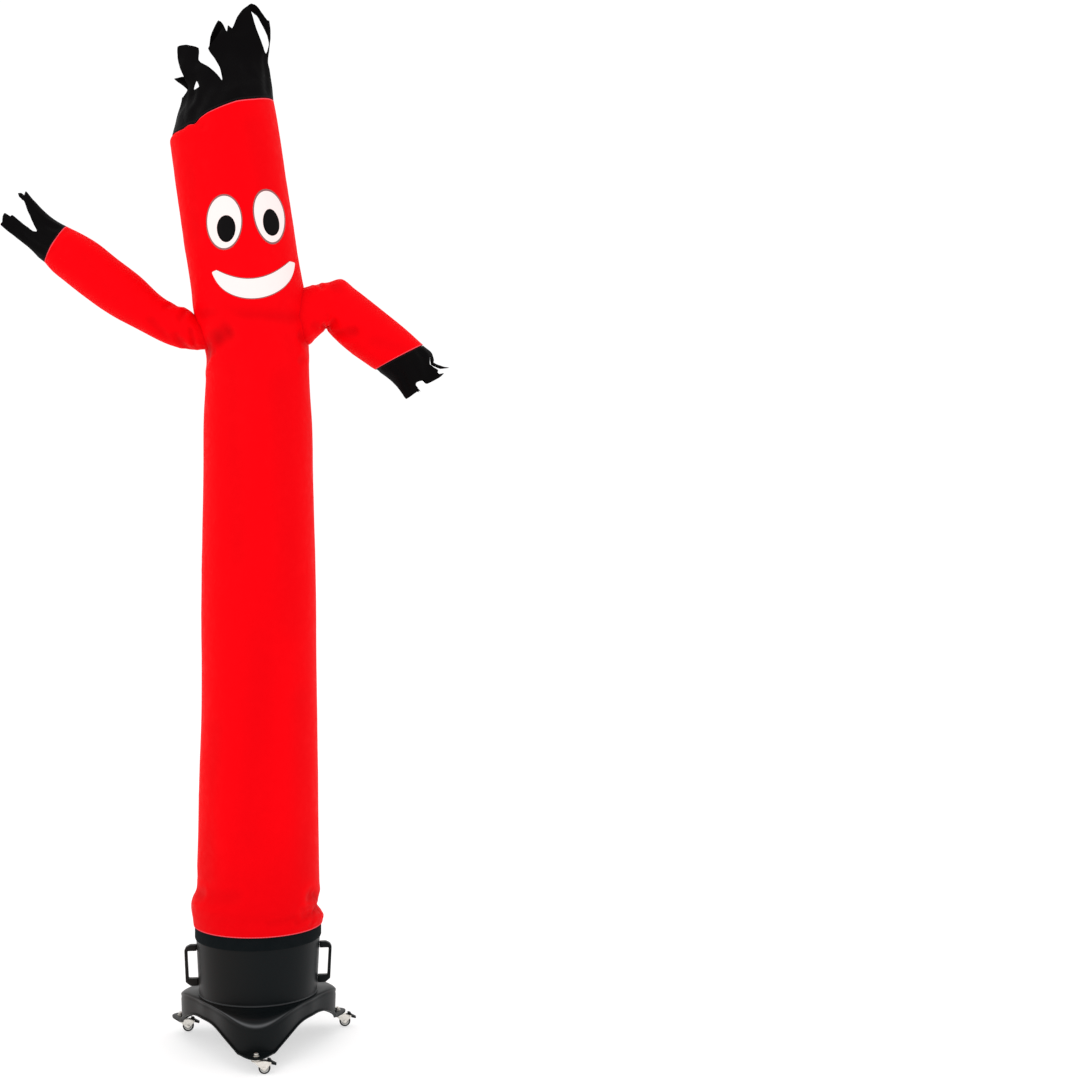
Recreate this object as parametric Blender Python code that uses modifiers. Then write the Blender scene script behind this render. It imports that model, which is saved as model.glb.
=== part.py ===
"""Inflatable air dancer standing on its castered blower.

Metres, +Z up, floor at z = 0, the face looks along -Y and +X is at the viewer's right.
Everything is measured from the blower's upright axis, which stands at AXIS_X, AXIS_Y.
Cloth tubes are lofts through rings, each ring given by its two silhouette edges.
"""

import math

import bmesh
import bpy
from mathutils import Matrix, Vector

# ---- driving dimensions -------------------------------------------------------------------------

# Where the blower's axis stands, so that the whole is centred on the origin.
AXIS_X, AXIS_Y = 0.0884, 0.0480

CLOTH = 0.002           # wall of every cloth tube
GAP = 0.0003            # between pieces that touch
PATCH = 0.0012          # face patches
FAR = 0.4               # how far cutters reach past the cloth
MERGE = 0.00001         # points nearer than this are one
BODY_SIDES = 28
ARM_SIDES = 16
CROWN_SIDES = 24
HAND_SIDES = 16

# Body tube, hem to crown seam: silhouette edges at the viewer's left and right, and depth over width.
BODY_RINGS = (
    # left_x, left_z, right_x, right_z, depth
    (-0.1805, 0.3420, 0.1805, 0.3420, 1.00),
    (-0.1825, 0.3600, 0.1808, 0.3600, 1.00),
    (-0.1855, 0.3810, 0.1690, 0.3800, 1.00),
    (-0.1875, 0.4030, 0.1710, 0.4010, 1.00),
    (-0.1820, 0.4230, 0.1720, 0.4230, 1.00),
    (-0.1740, 0.4430, 0.1720, 0.4430, 1.00),
    (-0.1706, 0.5160, 0.1706, 0.5160, 1.00),
    (-0.1650, 0.7420, 0.1680, 0.7420, 1.00),
    (-0.1585, 0.9670, 0.1650, 0.9670, 1.00),
    (-0.1590, 1.2490, 0.1620, 1.2490, 1.00),
    (-0.1565, 1.4180, 0.1590, 1.4180, 1.00),
    (-0.1537, 1.5880, 0.1537, 1.5880, 1.00),
    (-0.1523, 1.7570, 0.1510, 1.7570, 1.00),
    (-0.1480, 1.8500, 0.1450, 1.8500, 0.98),
    (-0.1455, 1.9150, 0.1425, 1.9180, 0.96),
    (-0.1500, 1.9550, 0.1410, 1.9640, 0.95),
    (-0.1580, 1.9850, 0.1400, 2.0020, 0.94),
    (-0.1680, 2.0150, 0.1375, 2.0420, 0.94),
    (-0.1760, 2.0420, 0.1350, 2.0790, 0.95),
    (-0.1819, 2.0700, 0.1315, 2.1120, 0.97),
    (-0.1875, 2.1230, 0.1215, 2.1650, 0.98),
    (-0.1955, 2.1800, 0.1110, 2.2225, 0.98),
    (-0.2045, 2.2360, 0.1030, 2.2785, 0.98),
    (-0.2125, 2.2925, 0.0945, 2.3350, 0.98),
    (-0.2210, 2.3490, 0.0860, 2.3915, 0.98),
    (-0.2290, 2.4050, 0.0770, 2.4475, 0.98),
    (-0.2360, 2.4620, 0.0690, 2.5040, 0.98),
    (-0.2435, 2.5180, 0.0605, 2.5630, 0.98),
    (-0.2460, 2.5460, 0.0525, 2.6130, 0.98),
    (-0.2395, 2.5690, 0.0430, 2.6650, 0.98),
)

# Troughs pressed into the body, each along a line between two places on its wall.
BODY_CREASES = (
    # from_deg, from_z, to_deg, to_z, half_width, depth      (degrees from the front, + to the right)
    (-82.0, 1.945, -38.0, 2.015, 0.026, 0.012),
    (-38.0, 2.020, 68.0, 2.034, 0.022, 0.006),
    (40.0, 2.012, 82.0, 1.965, 0.022, 0.008),
    (58.0, 0.432, 96.0, 0.388, 0.018, 0.006),
    (50.0, 0.392, 84.0, 0.382, 0.012, 0.004),
    (-100.0, 0.430, -62.0, 0.444, 0.016, 0.004),
)

# Sleeves, shoulder to cuff: upper and lower silhouette edges, how far back, and depth over width.
ARM_RINGS = {
    "arm_left": (
        # upper_x, upper_z, lower_x, lower_z, y, depth
        (-0.1283, 2.0332, -0.1114, 1.9542, 0.000, 1.10),
        (-0.1706, 2.0501, -0.1480, 1.9570, 0.000, 1.10),
        (-0.1960, 2.0684, -0.1847, 1.9570, 0.000, 1.06),
        (-0.2298, 2.0811, -0.2383, 1.9655, 0.000, 1.02),
        (-0.2750, 2.1093, -0.3398, 2.0134, 0.000, 1.00),
        (-0.3285, 2.1600, -0.4103, 2.0515, 0.000, 1.00),
        (-0.3906, 2.2080, -0.4752, 2.0960, 0.000, 1.00),
        (-0.4526, 2.2559, -0.5358, 2.1431, 0.000, 1.00),
        (-0.5006, 2.2827, -0.5739, 2.1755, 0.000, 1.00),
        (-0.5400, 2.3039, -0.6012, 2.2037, 0.000, 1.00),
    ),
    "arm_right": (
        (0.0917, 2.1206, 0.0973, 1.9683, 0.000, 0.92),
        (0.1311, 2.1262, 0.1424, 1.9683, 0.000, 0.92),
        (0.1593, 2.1389, 0.1622, 1.9866, 0.000, 0.96),
        (0.1960, 2.1473, 0.1847, 2.0106, 0.000, 1.02),
        (0.2327, 2.1544, 0.1946, 2.0148, 0.002, 1.04),
        (0.2721, 2.1262, 0.2016, 2.0063, 0.005, 1.04),
        (0.3088, 2.0980, 0.2298, 1.9739, 0.011, 1.00),
        (0.3567, 2.0613, 0.2620, 1.9490, 0.020, 0.98),
        (0.4131, 2.0162, 0.2985, 1.9240, 0.030, 0.96),
        (0.4667, 1.9683, 0.3328, 1.9006, 0.040, 0.94),
    ),
}

# Black cuffs that run on from a seam, before they are cut into strips.
CROWN_RINGS = (
    # left_x, left_z, right_x, right_z, depth
    (-0.2399, 2.5706, 0.0424, 2.6666, 0.98),
    (-0.2270, 2.6141, 0.0395, 2.6930, 0.92),
    (-0.2129, 2.6620, 0.0361, 2.7184, 0.80),
    (-0.2186, 2.6987, 0.0324, 2.7466, 0.66),
    (-0.2383, 2.7240, 0.0290, 2.7720, 0.52),
    (-0.2340, 2.7663, 0.0310, 2.8002, 0.42),
    (-0.2340, 2.8171, 0.0338, 2.8368, 0.34),
    (-0.1537, 2.8566, 0.0338, 2.8735, 0.32),
    (-0.1283, 2.8904, 0.0240, 2.9003, 0.34),
    (-0.0719, 2.9186, 0.0056, 2.9228, 0.45),
    (-0.0409, 2.9411, -0.0127, 2.9411, 0.60),
)
CROWN_OVERLAP = 0.004    # how far the front and back cuts run past the cuff's middle
CROWN_AROUND = ((-0.5, 2.4), (0.3, 2.4), (0.3, 3.1), (-0.5, 3.1))    # a frame well outside the cuff
HAND_RINGS = {
    "hand_left": (
        # upper_x, upper_z, lower_x, lower_z, y, depth
        (-0.5408, 2.3048, -0.6020, 2.2046, 0.000, 1.00),
        (-0.5809, 2.3292, -0.6232, 2.2221, 0.000, 0.80),
        (-0.6317, 2.3786, -0.6782, 2.2700, 0.000, 0.50),
        (-0.6557, 2.4082, -0.7233, 2.3039, 0.000, 0.36),
        (-0.6782, 2.4308, -0.7431, 2.3349, 0.000, 0.30),
    ),
    "hand_right": (
        (0.4673, 1.9670, 0.3335, 1.8994, 0.0405, 0.93),
        (0.4893, 1.9514, 0.3765, 1.8668, 0.048, 0.78),
        (0.5062, 1.9288, 0.4075, 1.8273, 0.052, 0.52),
        (0.5316, 1.9147, 0.4272, 1.8075, 0.056, 0.36),
        (0.5513, 1.9062, 0.4470, 1.7906, 0.058, 0.30),
    ),
}

# Outlines that the cuffs are cut to, in the front view.
CROWN_FRONT_CUT = (
    # x, z
    (-0.2750, 2.5100), (-0.2440, 2.5700), (-0.2070, 2.6560), (-0.1930, 2.6830), (-0.2070, 2.7160),
    (-0.2170, 2.7380), (-0.2240, 2.7650), (-0.2240, 2.7930), (-0.1980, 2.7960), (-0.1640, 2.7840),
    (-0.1640, 2.7600), (-0.1570, 2.7490), (-0.1330, 2.7330), (-0.1110, 2.7120), (-0.0980, 2.6940),
    (-0.0955, 2.7150), (-0.1060, 2.7360), (-0.1220, 2.7650), (-0.1380, 2.7910), (-0.1150, 2.8260),
    (-0.0980, 2.8530), (-0.0850, 2.8420), (-0.0840, 2.8620), (-0.0700, 2.8520), (-0.0530, 2.8840),
    (-0.0370, 2.8970), (-0.0225, 2.9010), (-0.0050, 2.8500), (0.0135, 2.8050), (0.0250, 2.7840),
    (0.0900, 2.7700), (0.0900, 2.5100),
)
CROWN_BACK_CUT = (
    (-0.2750, 2.5100), (-0.2440, 2.5700), (-0.2100, 2.6710), (-0.2010, 2.6960), (-0.2360, 2.7190),
    (-0.2100, 2.7330), (-0.1790, 2.7100), (-0.1400, 2.6820), (-0.1170, 2.7160), (-0.1240, 2.7830),
    (-0.1400, 2.8100), (-0.1360, 2.8430), (-0.1240, 2.8700), (-0.1130, 2.8890), (-0.0990, 2.8790),
    (-0.0750, 2.8240), (-0.0580, 2.7680), (-0.0470, 2.7050), (-0.0155, 2.7220), (0.0070, 2.7780),
    (0.0240, 2.8030), (0.0290, 2.8230), (0.0245, 2.8480), (0.0135, 2.8720), (-0.0025, 2.9020),
    (-0.0190, 2.9160), (-0.0325, 2.9290), (-0.0205, 2.9370), (-0.0050, 2.9300), (0.0140, 2.9070),
    (0.0300, 2.8870), (0.0900, 2.8750), (0.0900, 2.5100),
)
HAND_CUTS = {
    "hand_left": (
        (-0.5200, 2.3300), (-0.5400, 2.3110), (-0.5860, 2.3330), (-0.6330, 2.3783), (-0.6520, 2.4011),
        (-0.6557, 2.3890), (-0.6627, 2.3944), (-0.6723, 2.3932), (-0.6680, 2.3822), (-0.6560, 2.3729),
        (-0.6452, 2.3444), (-0.6317, 2.3151), (-0.6175, 2.2860), (-0.6292, 2.2867), (-0.6560, 2.3067),
        (-0.6858, 2.3315), (-0.6923, 2.3284), (-0.7078, 2.3377), (-0.7140, 2.3284), (-0.7160, 2.3134),
        (-0.7208, 2.3056), (-0.6777, 2.2703), (-0.6480, 2.2475), (-0.6235, 2.2232), (-0.6030, 2.1980),
        (-0.5600, 2.1900),
    ),
    "hand_right": (
        (0.4300, 2.0000), (0.4680, 1.9730), (0.4836, 1.9573), (0.4938, 1.9415), (0.4980, 1.9243),
        (0.4965, 1.9176), (0.5110, 1.9113), (0.5290, 1.9062), (0.5440, 1.9048), (0.5190, 1.9020),
        (0.4930, 1.9130), (0.4900, 1.9250), (0.4893, 1.9358), (0.4856, 1.9327), (0.4856, 1.9113),
        (0.5096, 1.8969), (0.5082, 1.8896), (0.5130, 1.8854), (0.5268, 1.8876), (0.5166, 1.8769),
        (0.4814, 1.8588), (0.4678, 1.8682), (0.4549, 1.8653), (0.4461, 1.8580), (0.4456, 1.8510),
        (0.4591, 1.8343), (0.4520, 1.8357), (0.4196, 1.8135), (0.4058, 1.8321), (0.3900, 1.8524),
        (0.3672, 1.8704), (0.3455, 1.8831), (0.3200, 1.8930), (0.3100, 1.9300),
    ),
}

# Face patches, in the front view, on the wall between two of the body's rings.
FACE_LOW_RING, FACE_HIGH_RING = 16, 28
EYES = {
    # x, z, width, height, lean_deg
    "eye_left": (-0.0895, 2.2990, 0.0990, 0.1520, 0.0),
    "eye_right": (0.0330, 2.3175, 0.0870, 0.1495, 7.0),
    "pupil_left": (-0.0843, 2.2806, 0.0485, 0.0734, 0.0),
    "pupil_right": (0.0372, 2.3017, 0.0430, 0.0716, 5.0),
}
MOUTH_X, MOUTH_Z, MOUTH_LEAN = -0.0115, 2.1830, 8.1
MOUTH_HALF_TOP, MOUTH_SAG_TOP, MOUTH_TIP = 0.1065, 0.0376, 0.004
MOUTH_HALF_BOTTOM, MOUTH_SAG_BOTTOM = 0.1165, 0.0936

# Blower outlet.
DRUM_R, DRUM_FOOT_R, DRUM_WALL = 0.173, 0.1655, 0.003
DRUM_BOTTOM, DRUM_STRAIGHT, DRUM_TOP = 0.1490, 0.3000, 0.3497
DRUM_SIDES = 40
BAND_R, BAND_BOTTOM = 0.1769, 0.305
COLLAR_R, COLLAR_LEDGE_R, COLLAR_BORE_R = 0.1735, 0.1600, 0.1540
COLLAR_BOTTOM, COLLAR_LEDGE, COLLAR_TOP = 0.3500, 0.3530, 0.3570
RING_R, RING_BOTTOM, RING_TOP = 0.1715, 0.3573, 0.3610
GUARD_Z, GUARD_WIRE, SPOKE_WIRE = 0.3548, 0.0015, 0.0013
GUARD_RINGS = (0.022, 0.090, 0.1575)
GUARD_SPOKES = 3
GUARD_SIDES = 20
SPOKE_STEPS, SPOKE_SWING = 7, 0.45
DISC_R, DISC_BORE_R, DISC_THICK, DISC_SIDES = 0.024, 0.0045, 0.0015, 24

# Handles: outline in the front view at the viewer's right, as (x, z).
HANDLE_OUTLINE = (
    (0.1725, 0.2830), (0.1900, 0.2830), (0.2015, 0.2775), (0.2063, 0.2690), (0.2022, 0.1800),
    (0.1885, 0.1690), (0.1668, 0.1690), (0.1678, 0.1890), (0.1938, 0.1890), (0.1978, 0.2666),
    (0.1717, 0.2666),
)
HANDLE_DEPTH = 0.021

# Base: a moulded shell with three lobes over the feet and an arch between each two.
FEET = {"front": -90.0, "right": 30.0, "left": 150.0}
BASE_WALL = 0.0035
BASE_BORE_R = 0.150
BASE_TOP, BASE_CLEAR = 0.1487, 0.001
BASE_SIDE_R, BASE_LOBE_R, LOBE_POWER = 0.174, 0.240, 1.8
SADDLE_DROP, LOBE_DROP, DROP_POWER = 0.003, 0.036, 4.5
SHOULDER = ((0.30, 0.20), (0.65, 0.29), (0.90, 0.62), (1.0, 1.0))    # shares of the way out and down
SKIRT_DRAW = 0.003
FLANGE_TOP = 0.0475
FLANGE_TIP_R, FLANGE_SPREAD = 0.283, 15.0
ARCH_TOP, ARCH_START = 0.102, 12.5
LIP = 0.004
BASE_SIDES = 54

# Casters: x runs along the trail, from the swivel axis.
CASTER_R = 0.260
KING_R = 0.004
BOLT_HEAD_R, BOLT_HEAD_TALL, BOLT_BEVEL = 0.0068, 0.0062, 0.0014
COLLAR_UNDER_R, COLLAR_UNDER_TALL = 0.0066, 0.0027
WASHER_R, WASHER_TALL = 0.0088, 0.0014
CAP_TOP_R, CAP_R, CAP_SLOPE = 0.0085, 0.0122, 0.0035
TRAIL = 0.022
WHEEL_R, WHEEL_WIDTH, WHEEL_SIDES = 0.016, 0.0130, 20
TYRE_BEVEL_R, TYRE_BEVEL_W = 0.0022, 0.0026
RIM_R, RIM_BEVEL, HUB_GAP = 0.0112, 0.0014, 0.0005
AXLE_R, AXLE_HEAD_R, HEAD_TALL = 0.0022, 0.0042, 0.0011
FORK_IN, FORK_OUT = 0.0078, 0.0093
FORK_PLATE_BOTTOM, FORK_PLATE_TOP, FORK_DISC_R = 0.0340, 0.0358, 0.0130
FORK_REAR, FORK_KNEE_X, FORK_KNEE_Z = -0.0090, -0.0040, 0.0315
CHEEK_R, TAIL_R, FORK_PLATE_END = 0.0056, 0.0036, 0.0260
CHEEK_ARC, TAIL_ARC = (215.0, 28.0, 6), (-50.0, 40.0, 5)    # first angle, step, points
DISC_SINK, GATE_START = 0.0001, 0.0250
PIN_X, PIN_Z, PIN_R, PIN_HEAD_R = 0.0370, 0.0300, 0.0016, 0.0028
PEDAL_PLAY = 0.0006
PEDAL_SIDE = (
    # x, z, from the pin: a short wing up, and a toe out and down
    (-0.0034, -0.0010), (-0.0034, 0.0024), (-0.0080, 0.0088), (-0.0062, 0.0118), (0.0010, 0.0098),
    (0.0042, 0.0040), (0.0170, -0.0030), (0.0160, -0.0066), (0.0030, -0.0030), (-0.0010, -0.0034),
)
SMALL_SIDES = 10
BORE_SIDES = 8

# ---- colours --------------------------------------------------------------------------------------

LOOKS = {
    # name: red, green, blue, roughness, metallic
    "red_nylon": (0.80, 0.01, 0.015, 0.55, 0.0),
    "black_nylon": (0.012, 0.012, 0.014, 0.60, 0.0),
    "white_nylon": (0.88, 0.86, 0.85, 0.60, 0.0),
    "black_plastic": (0.020, 0.022, 0.024, 0.38, 0.0),
    "black_band": (0.012, 0.013, 0.015, 0.85, 0.0),
    "brushed_metal": (0.62, 0.60, 0.57, 0.30, 1.0),
    "bright_wire": (0.75, 0.75, 0.74, 0.22, 1.0),
    "nickel": (0.66, 0.62, 0.56, 0.28, 1.0),
    "rubber": (0.015, 0.015, 0.016, 0.60, 0.0),
    "pale_rim": (0.70, 0.70, 0.68, 0.40, 0.0),
}


# ---- scene and small helpers ------------------------------------------------------------------------

for old in list(bpy.data.objects):
    bpy.data.objects.remove(old, do_unlink=True)

PARTS = bpy.data.collections.new("air_dancer")
CUTTERS = bpy.data.collections.new("cutters")
for collection in (PARTS, CUTTERS):
    bpy.context.scene.collection.children.link(collection)


def empty(name, location, parent=None):
    """An empty that carries what is placed from it."""
    made = bpy.data.objects.new(name, None)
    made.location = location
    made.parent = parent
    PARTS.objects.link(made)
    return made


AXIS = empty("blower_axis", (AXIS_X, AXIS_Y, 0.0))
ACROSS = (math.pi / 2, 0.0, 0.0)      # lays a piece turned about Z along Y


def look(name):
    """The named Principled material, made once."""
    if name in bpy.data.materials:
        return bpy.data.materials[name]
    red, green, blue, roughness, metallic = LOOKS[name]
    made = bpy.data.materials.new(name)
    made.use_nodes = True
    shader = made.node_tree.nodes["Principled BSDF"]
    shader.inputs["Base Color"].default_value = (red, green, blue, 1.0)
    shader.inputs["Roughness"].default_value = roughness
    shader.inputs["Metallic"].default_value = metallic
    return made


def part(name, mesh, look_name, location=(0.0, 0.0, 0.0), rotation=(0.0, 0.0, 0.0), parent=AXIS):
    """One piece of the object."""
    made = bpy.data.objects.new(name, mesh)
    made.location = location
    made.rotation_euler = rotation
    made.parent = parent
    mesh.materials.append(look(look_name))
    PARTS.objects.link(made)
    return made


def cutter(name, mesh, location=(0.0, 0.0, 0.0), rotation=(0.0, 0.0, 0.0), parent=AXIS):
    """A shape that only cuts others."""
    made = bpy.data.objects.new(name, mesh)
    made.location = location
    made.rotation_euler = rotation
    made.parent = parent
    made.hide_render = True
    made.display_type = "WIRE"
    CUTTERS.objects.link(made)
    return made


def boolean(piece, operation, other):
    """Cut or join a piece with another."""
    change = piece.modifiers.new(operation.lower() + "_" + other.name, "BOOLEAN")
    change.operation = operation
    change.object = other
    change.solver = "EXACT"


def walled(piece, thickness, side=-1.0, folded=False):
    """Give an open surface its wall, inwards of it or outwards; folded keeps it even over sharp folds."""
    wall = piece.modifiers.new("wall", "SOLIDIFY")
    wall.thickness = thickness
    wall.offset = side
    wall.use_even_offset = True
    wall.use_quality_normals = folded


def mesh_from(shape, name):
    """A mesh from a bmesh, which is freed."""
    made = bpy.data.meshes.new(name)
    shape.to_mesh(made)
    shape.free()
    return made


def shade_round(mesh, degrees=35.0):
    """Smooth shading up to an edge angle."""
    mesh.shade_smooth()
    mesh.set_sharp_from_angle(angle=math.radians(degrees))


def swept(piece, sides):
    """Turn a profile once about Z."""
    sweep = piece.modifiers.new("turn", "SCREW")
    sweep.steps = sweep.render_steps = sides
    sweep.use_merge_vertices = True
    sweep.merge_threshold = MERGE


def turned(name, profile, sides, look_name, closed=True, **place):
    """A turned piece: a profile of (radius, z), down its outer side, swept about Z."""
    shape = bmesh.new()
    points = [shape.verts.new((radius, 0.0, z)) for radius, z in profile]
    for start, end in zip(points, points[1:]):
        shape.edges.new((start, end))
    if closed:
        shape.edges.new((points[-1], points[0]))
    made = part(name, mesh_from(shape, name), look_name, **place)
    swept(made, sides)
    return made


def rod(radius, low, high, sides):
    """A plain cylinder along Z."""
    shape = bmesh.new()
    bmesh.ops.create_cone(shape, cap_ends=True, segments=sides, radius1=radius, radius2=radius,
                          depth=high - low, matrix=Matrix.Translation((0.0, 0.0, (low + high) / 2)))
    return mesh_from(shape, "rod")


def bore(radius, low, high):
    """A cylinder to cut with, whose flats clear a pin of that radius by the gap."""
    return rod((radius + GAP) / math.cos(math.pi / BORE_SIDES), low, high, BORE_SIDES)


def prism(outlines, near, far):
    """Outlines of (x, z), filled and extruded from y = near to y = far; one inside another is a hole."""
    curve = bpy.data.curves.new("outline", "CURVE")
    curve.dimensions = "2D"
    curve.fill_mode = "BOTH"
    curve.extrude = (far - near) / 2
    for outline in outlines:
        spline = curve.splines.new("POLY")
        spline.points.add(len(outline) - 1)
        spline.use_cyclic_u = True
        for point, (x, z) in zip(spline.points, outline):
            point.co = (x, z, 0.0, 1.0)
    holder = bpy.data.objects.new("outline", curve)
    holder.location = (0.0, (near + far) / 2, 0.0)
    holder.rotation_euler = (math.pi / 2, 0.0, 0.0)
    PARTS.objects.link(holder)
    bpy.context.view_layer.update()
    solid = bpy.data.meshes.new_from_object(holder.evaluated_get(bpy.context.evaluated_depsgraph_get()))
    solid.transform(holder.matrix_world)
    bpy.data.objects.remove(holder, do_unlink=True)
    shape = bmesh.new()
    shape.from_mesh(solid)
    bmesh.ops.remove_doubles(shape, verts=shape.verts, dist=MERGE)
    bmesh.ops.recalc_face_normals(shape, faces=shape.faces)
    shape.to_mesh(solid)
    shape.free()
    return solid


# ---- cloth tubes --------------------------------------------------------------------------------------

def rings_of(rows):
    """Ring centres, half widths and half depths, from rows of two silhouette edges."""
    rings = []
    for row in rows:
        first_x, first_z, second_x, second_z = row[:4]
        y, depth = (0.0, row[4]) if len(row) == 5 else row[4:]
        centre = Vector(((first_x + second_x) / 2, y, (first_z + second_z) / 2))
        across = Vector(((second_x - first_x) / 2, 0.0, (second_z - first_z) / 2))
        rings.append((centre, across, Vector((0.0, -across.length * depth, 0.0))))
    return rings


def crease_depth(degrees, height, radius, creases):
    """How far creases press a place on a tube's wall inwards."""
    pressed = 0.0
    for from_deg, from_z, to_deg, to_z, half_width, depth in creases:
        place = Vector((math.radians(degrees - from_deg) * radius, height - from_z))
        run = Vector((math.radians(to_deg - from_deg) * radius, to_z - from_z))
        along = min(max(place.dot(run) / run.length_squared, 0.0), 1.0)
        away = (place - along * run).length / half_width
        pressed += depth * math.exp(-away * away)
    return pressed


def tube(rows, sides, grow=0.0, creases=(), capped=False):
    """A loft through the rings of rows, its wall moved outwards by grow."""
    shape = bmesh.new()
    loops = []
    for centre, across, deep in rings_of(rows):
        loop = []
        for step in range(sides):
            turn = math.tau * step / sides
            out = across * math.cos(turn) + deep * math.sin(turn)
            degrees = (90.0 - math.degrees(turn) + 180.0) % 360.0 - 180.0
            inwards = crease_depth(degrees, centre.z + out.z, out.length, creases)
            loop.append(shape.verts.new(centre + out * (1.0 + (grow - inwards) / out.length)))
        loops.append(loop)
    for low, high in zip(loops, loops[1:]):
        for step in range(sides):
            after = (step + 1) % sides
            shape.faces.new((low[step], high[step], high[after], low[after]))
    shape.faces.ensure_lookup_table()
    middle = rings_of(rows)[0][0]
    shape.normal_update()
    if shape.faces[0].normal.dot(shape.faces[0].calc_center_median() - middle) < 0.0:
        bmesh.ops.reverse_faces(shape, faces=shape.faces)
    if capped:
        shape.faces.new(loops[0])
        shape.faces.new(loops[-1])
        bmesh.ops.recalc_face_normals(shape, faces=shape.faces)
    return mesh_from(shape, "tube")


def ellipse(x, z, width, height, lean_deg, steps=24):
    """An ellipse as (x, z) points, its top leaning to the left."""
    lean = math.radians(lean_deg)
    points = []
    for step in range(steps):
        turn = math.tau * step / steps
        along, up = math.cos(turn) * width / 2, math.sin(turn) * height / 2
        points.append((x + along * math.cos(lean) - up * math.sin(lean),
                       z + along * math.sin(lean) + up * math.cos(lean)))
    return points


def mouth_outline(steps=10):
    """A crescent: half an ellipse below and a shallow curve above."""
    lean = math.radians(MOUTH_LEAN)
    flat = []
    for step in range(steps + 1):
        turn = math.pi * step / steps
        flat.append((-MOUTH_HALF_BOTTOM * math.cos(turn), -MOUTH_SAG_BOTTOM * math.sin(turn)))
    for step in range(steps + 1):
        along = 1.0 - 2.0 * step / steps
        flat.append((MOUTH_HALF_TOP * along, MOUTH_TIP - (MOUTH_SAG_TOP + MOUTH_TIP) * (1.0 - along * along)))
    return [(MOUTH_X + u * math.cos(lean) - v * math.sin(lean),
             MOUTH_Z + u * math.sin(lean) + v * math.cos(lean)) for u, v in flat]


def make_body_and_arms():
    """The body tube with its armholes, and the two sleeves that end on its wall."""
    body = part("body_tube", tube(BODY_RINGS, BODY_SIDES, creases=BODY_CREASES), "red_nylon")
    walled(body, CLOTH)
    filled = cutter("body_filled", tube(BODY_RINGS, BODY_SIDES, GAP, BODY_CREASES, capped=True))
    for name, rows in ARM_RINGS.items():
        sleeve = part(name, tube(rows, ARM_SIDES), "red_nylon")
        walled(sleeve, CLOTH)
        boolean(sleeve, "DIFFERENCE", filled)
        lumen = cutter(name + "_lumen", tube(rows, ARM_SIDES, -CLOTH - GAP, capped=True))
        boolean(body, "DIFFERENCE", lumen)
        shade_round(sleeve.data)
    shade_round(body.data)


def make_crown():
    """The black cuff at the top of the head, its front and its back cut into different strips."""
    crown = part("crown", tube(CROWN_RINGS, CROWN_SIDES), "black_nylon")
    walled(crown, CLOTH)
    shade_round(crown.data, 60.0)
    for name, outline, near, far in (("crown_front_waste", CROWN_FRONT_CUT, -FAR, CROWN_OVERLAP),
                                     ("crown_back_waste", CROWN_BACK_CUT, -CROWN_OVERLAP, FAR)):
        boolean(crown, "DIFFERENCE", cutter(name, prism((CROWN_AROUND, outline), near, far)))


def make_hands():
    """The black cuffs at the arms' ends, each cut into fingers."""
    for name, rows in HAND_RINGS.items():
        hand = part(name, tube(rows, HAND_SIDES), "black_nylon")
        walled(hand, CLOTH)
        shade_round(hand.data, 60.0)
        boolean(hand, "INTERSECT", cutter(name + "_cut", prism((HAND_CUTS[name],), -FAR, FAR)))


def make_face():
    """Patches that lie on the head's wall: eyes and mouth first, pupils on the eyes."""
    head_rows = BODY_RINGS[FACE_LOW_RING:FACE_HIGH_RING + 1]
    on_wall, on_patch = GAP, 2 * GAP + PATCH
    outlines = {name: ellipse(*values) for name, values in EYES.items()}
    outlines["mouth"] = mouth_outline()
    for name, outline in outlines.items():
        lift = on_patch if name.startswith("pupil") else on_wall
        colour = "black_nylon" if name.startswith("pupil") else "white_nylon"
        patch = part(name, tube(head_rows, BODY_SIDES, lift, BODY_CREASES), colour)
        walled(patch, PATCH, side=1.0)
        shade_round(patch.data)
        boolean(patch, "INTERSECT", cutter(name + "_cut", prism((outline,), -FAR, 0.0)))


# ---- blower ----------------------------------------------------------------------------------------------

def make_outlet():
    """Drum, hook-and-loop band, collar, ring and wire guard."""
    floor_top = DRUM_BOTTOM + DRUM_WALL
    turned("drum", ((0.0, floor_top), (DRUM_FOOT_R - DRUM_WALL, floor_top),
                    (DRUM_R - DRUM_WALL, DRUM_STRAIGHT), (DRUM_R - DRUM_WALL, DRUM_TOP),
                    (DRUM_R, DRUM_TOP), (DRUM_R, DRUM_STRAIGHT), (DRUM_FOOT_R, DRUM_BOTTOM),
                    (0.0, DRUM_BOTTOM)), DRUM_SIDES, "black_plastic", closed=False)
    inner = DRUM_R + GAP
    turned("band", ((inner, DRUM_TOP), (BAND_R, DRUM_TOP), (BAND_R, BAND_BOTTOM), (inner, BAND_BOTTOM)),
           DRUM_SIDES, "black_band")
    turned("collar_rim", ((COLLAR_LEDGE_R, COLLAR_TOP), (COLLAR_R, COLLAR_TOP), (COLLAR_R, COLLAR_BOTTOM),
                          (COLLAR_BORE_R, COLLAR_BOTTOM), (COLLAR_BORE_R, COLLAR_LEDGE),
                          (COLLAR_LEDGE_R, COLLAR_LEDGE)), DRUM_SIDES, "black_plastic")
    turned("flange_ring", ((COLLAR_BORE_R, RING_TOP), (RING_R, RING_TOP), (RING_R, RING_BOTTOM),
                           (COLLAR_BORE_R, RING_BOTTOM)), DRUM_SIDES, "brushed_metal")


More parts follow.
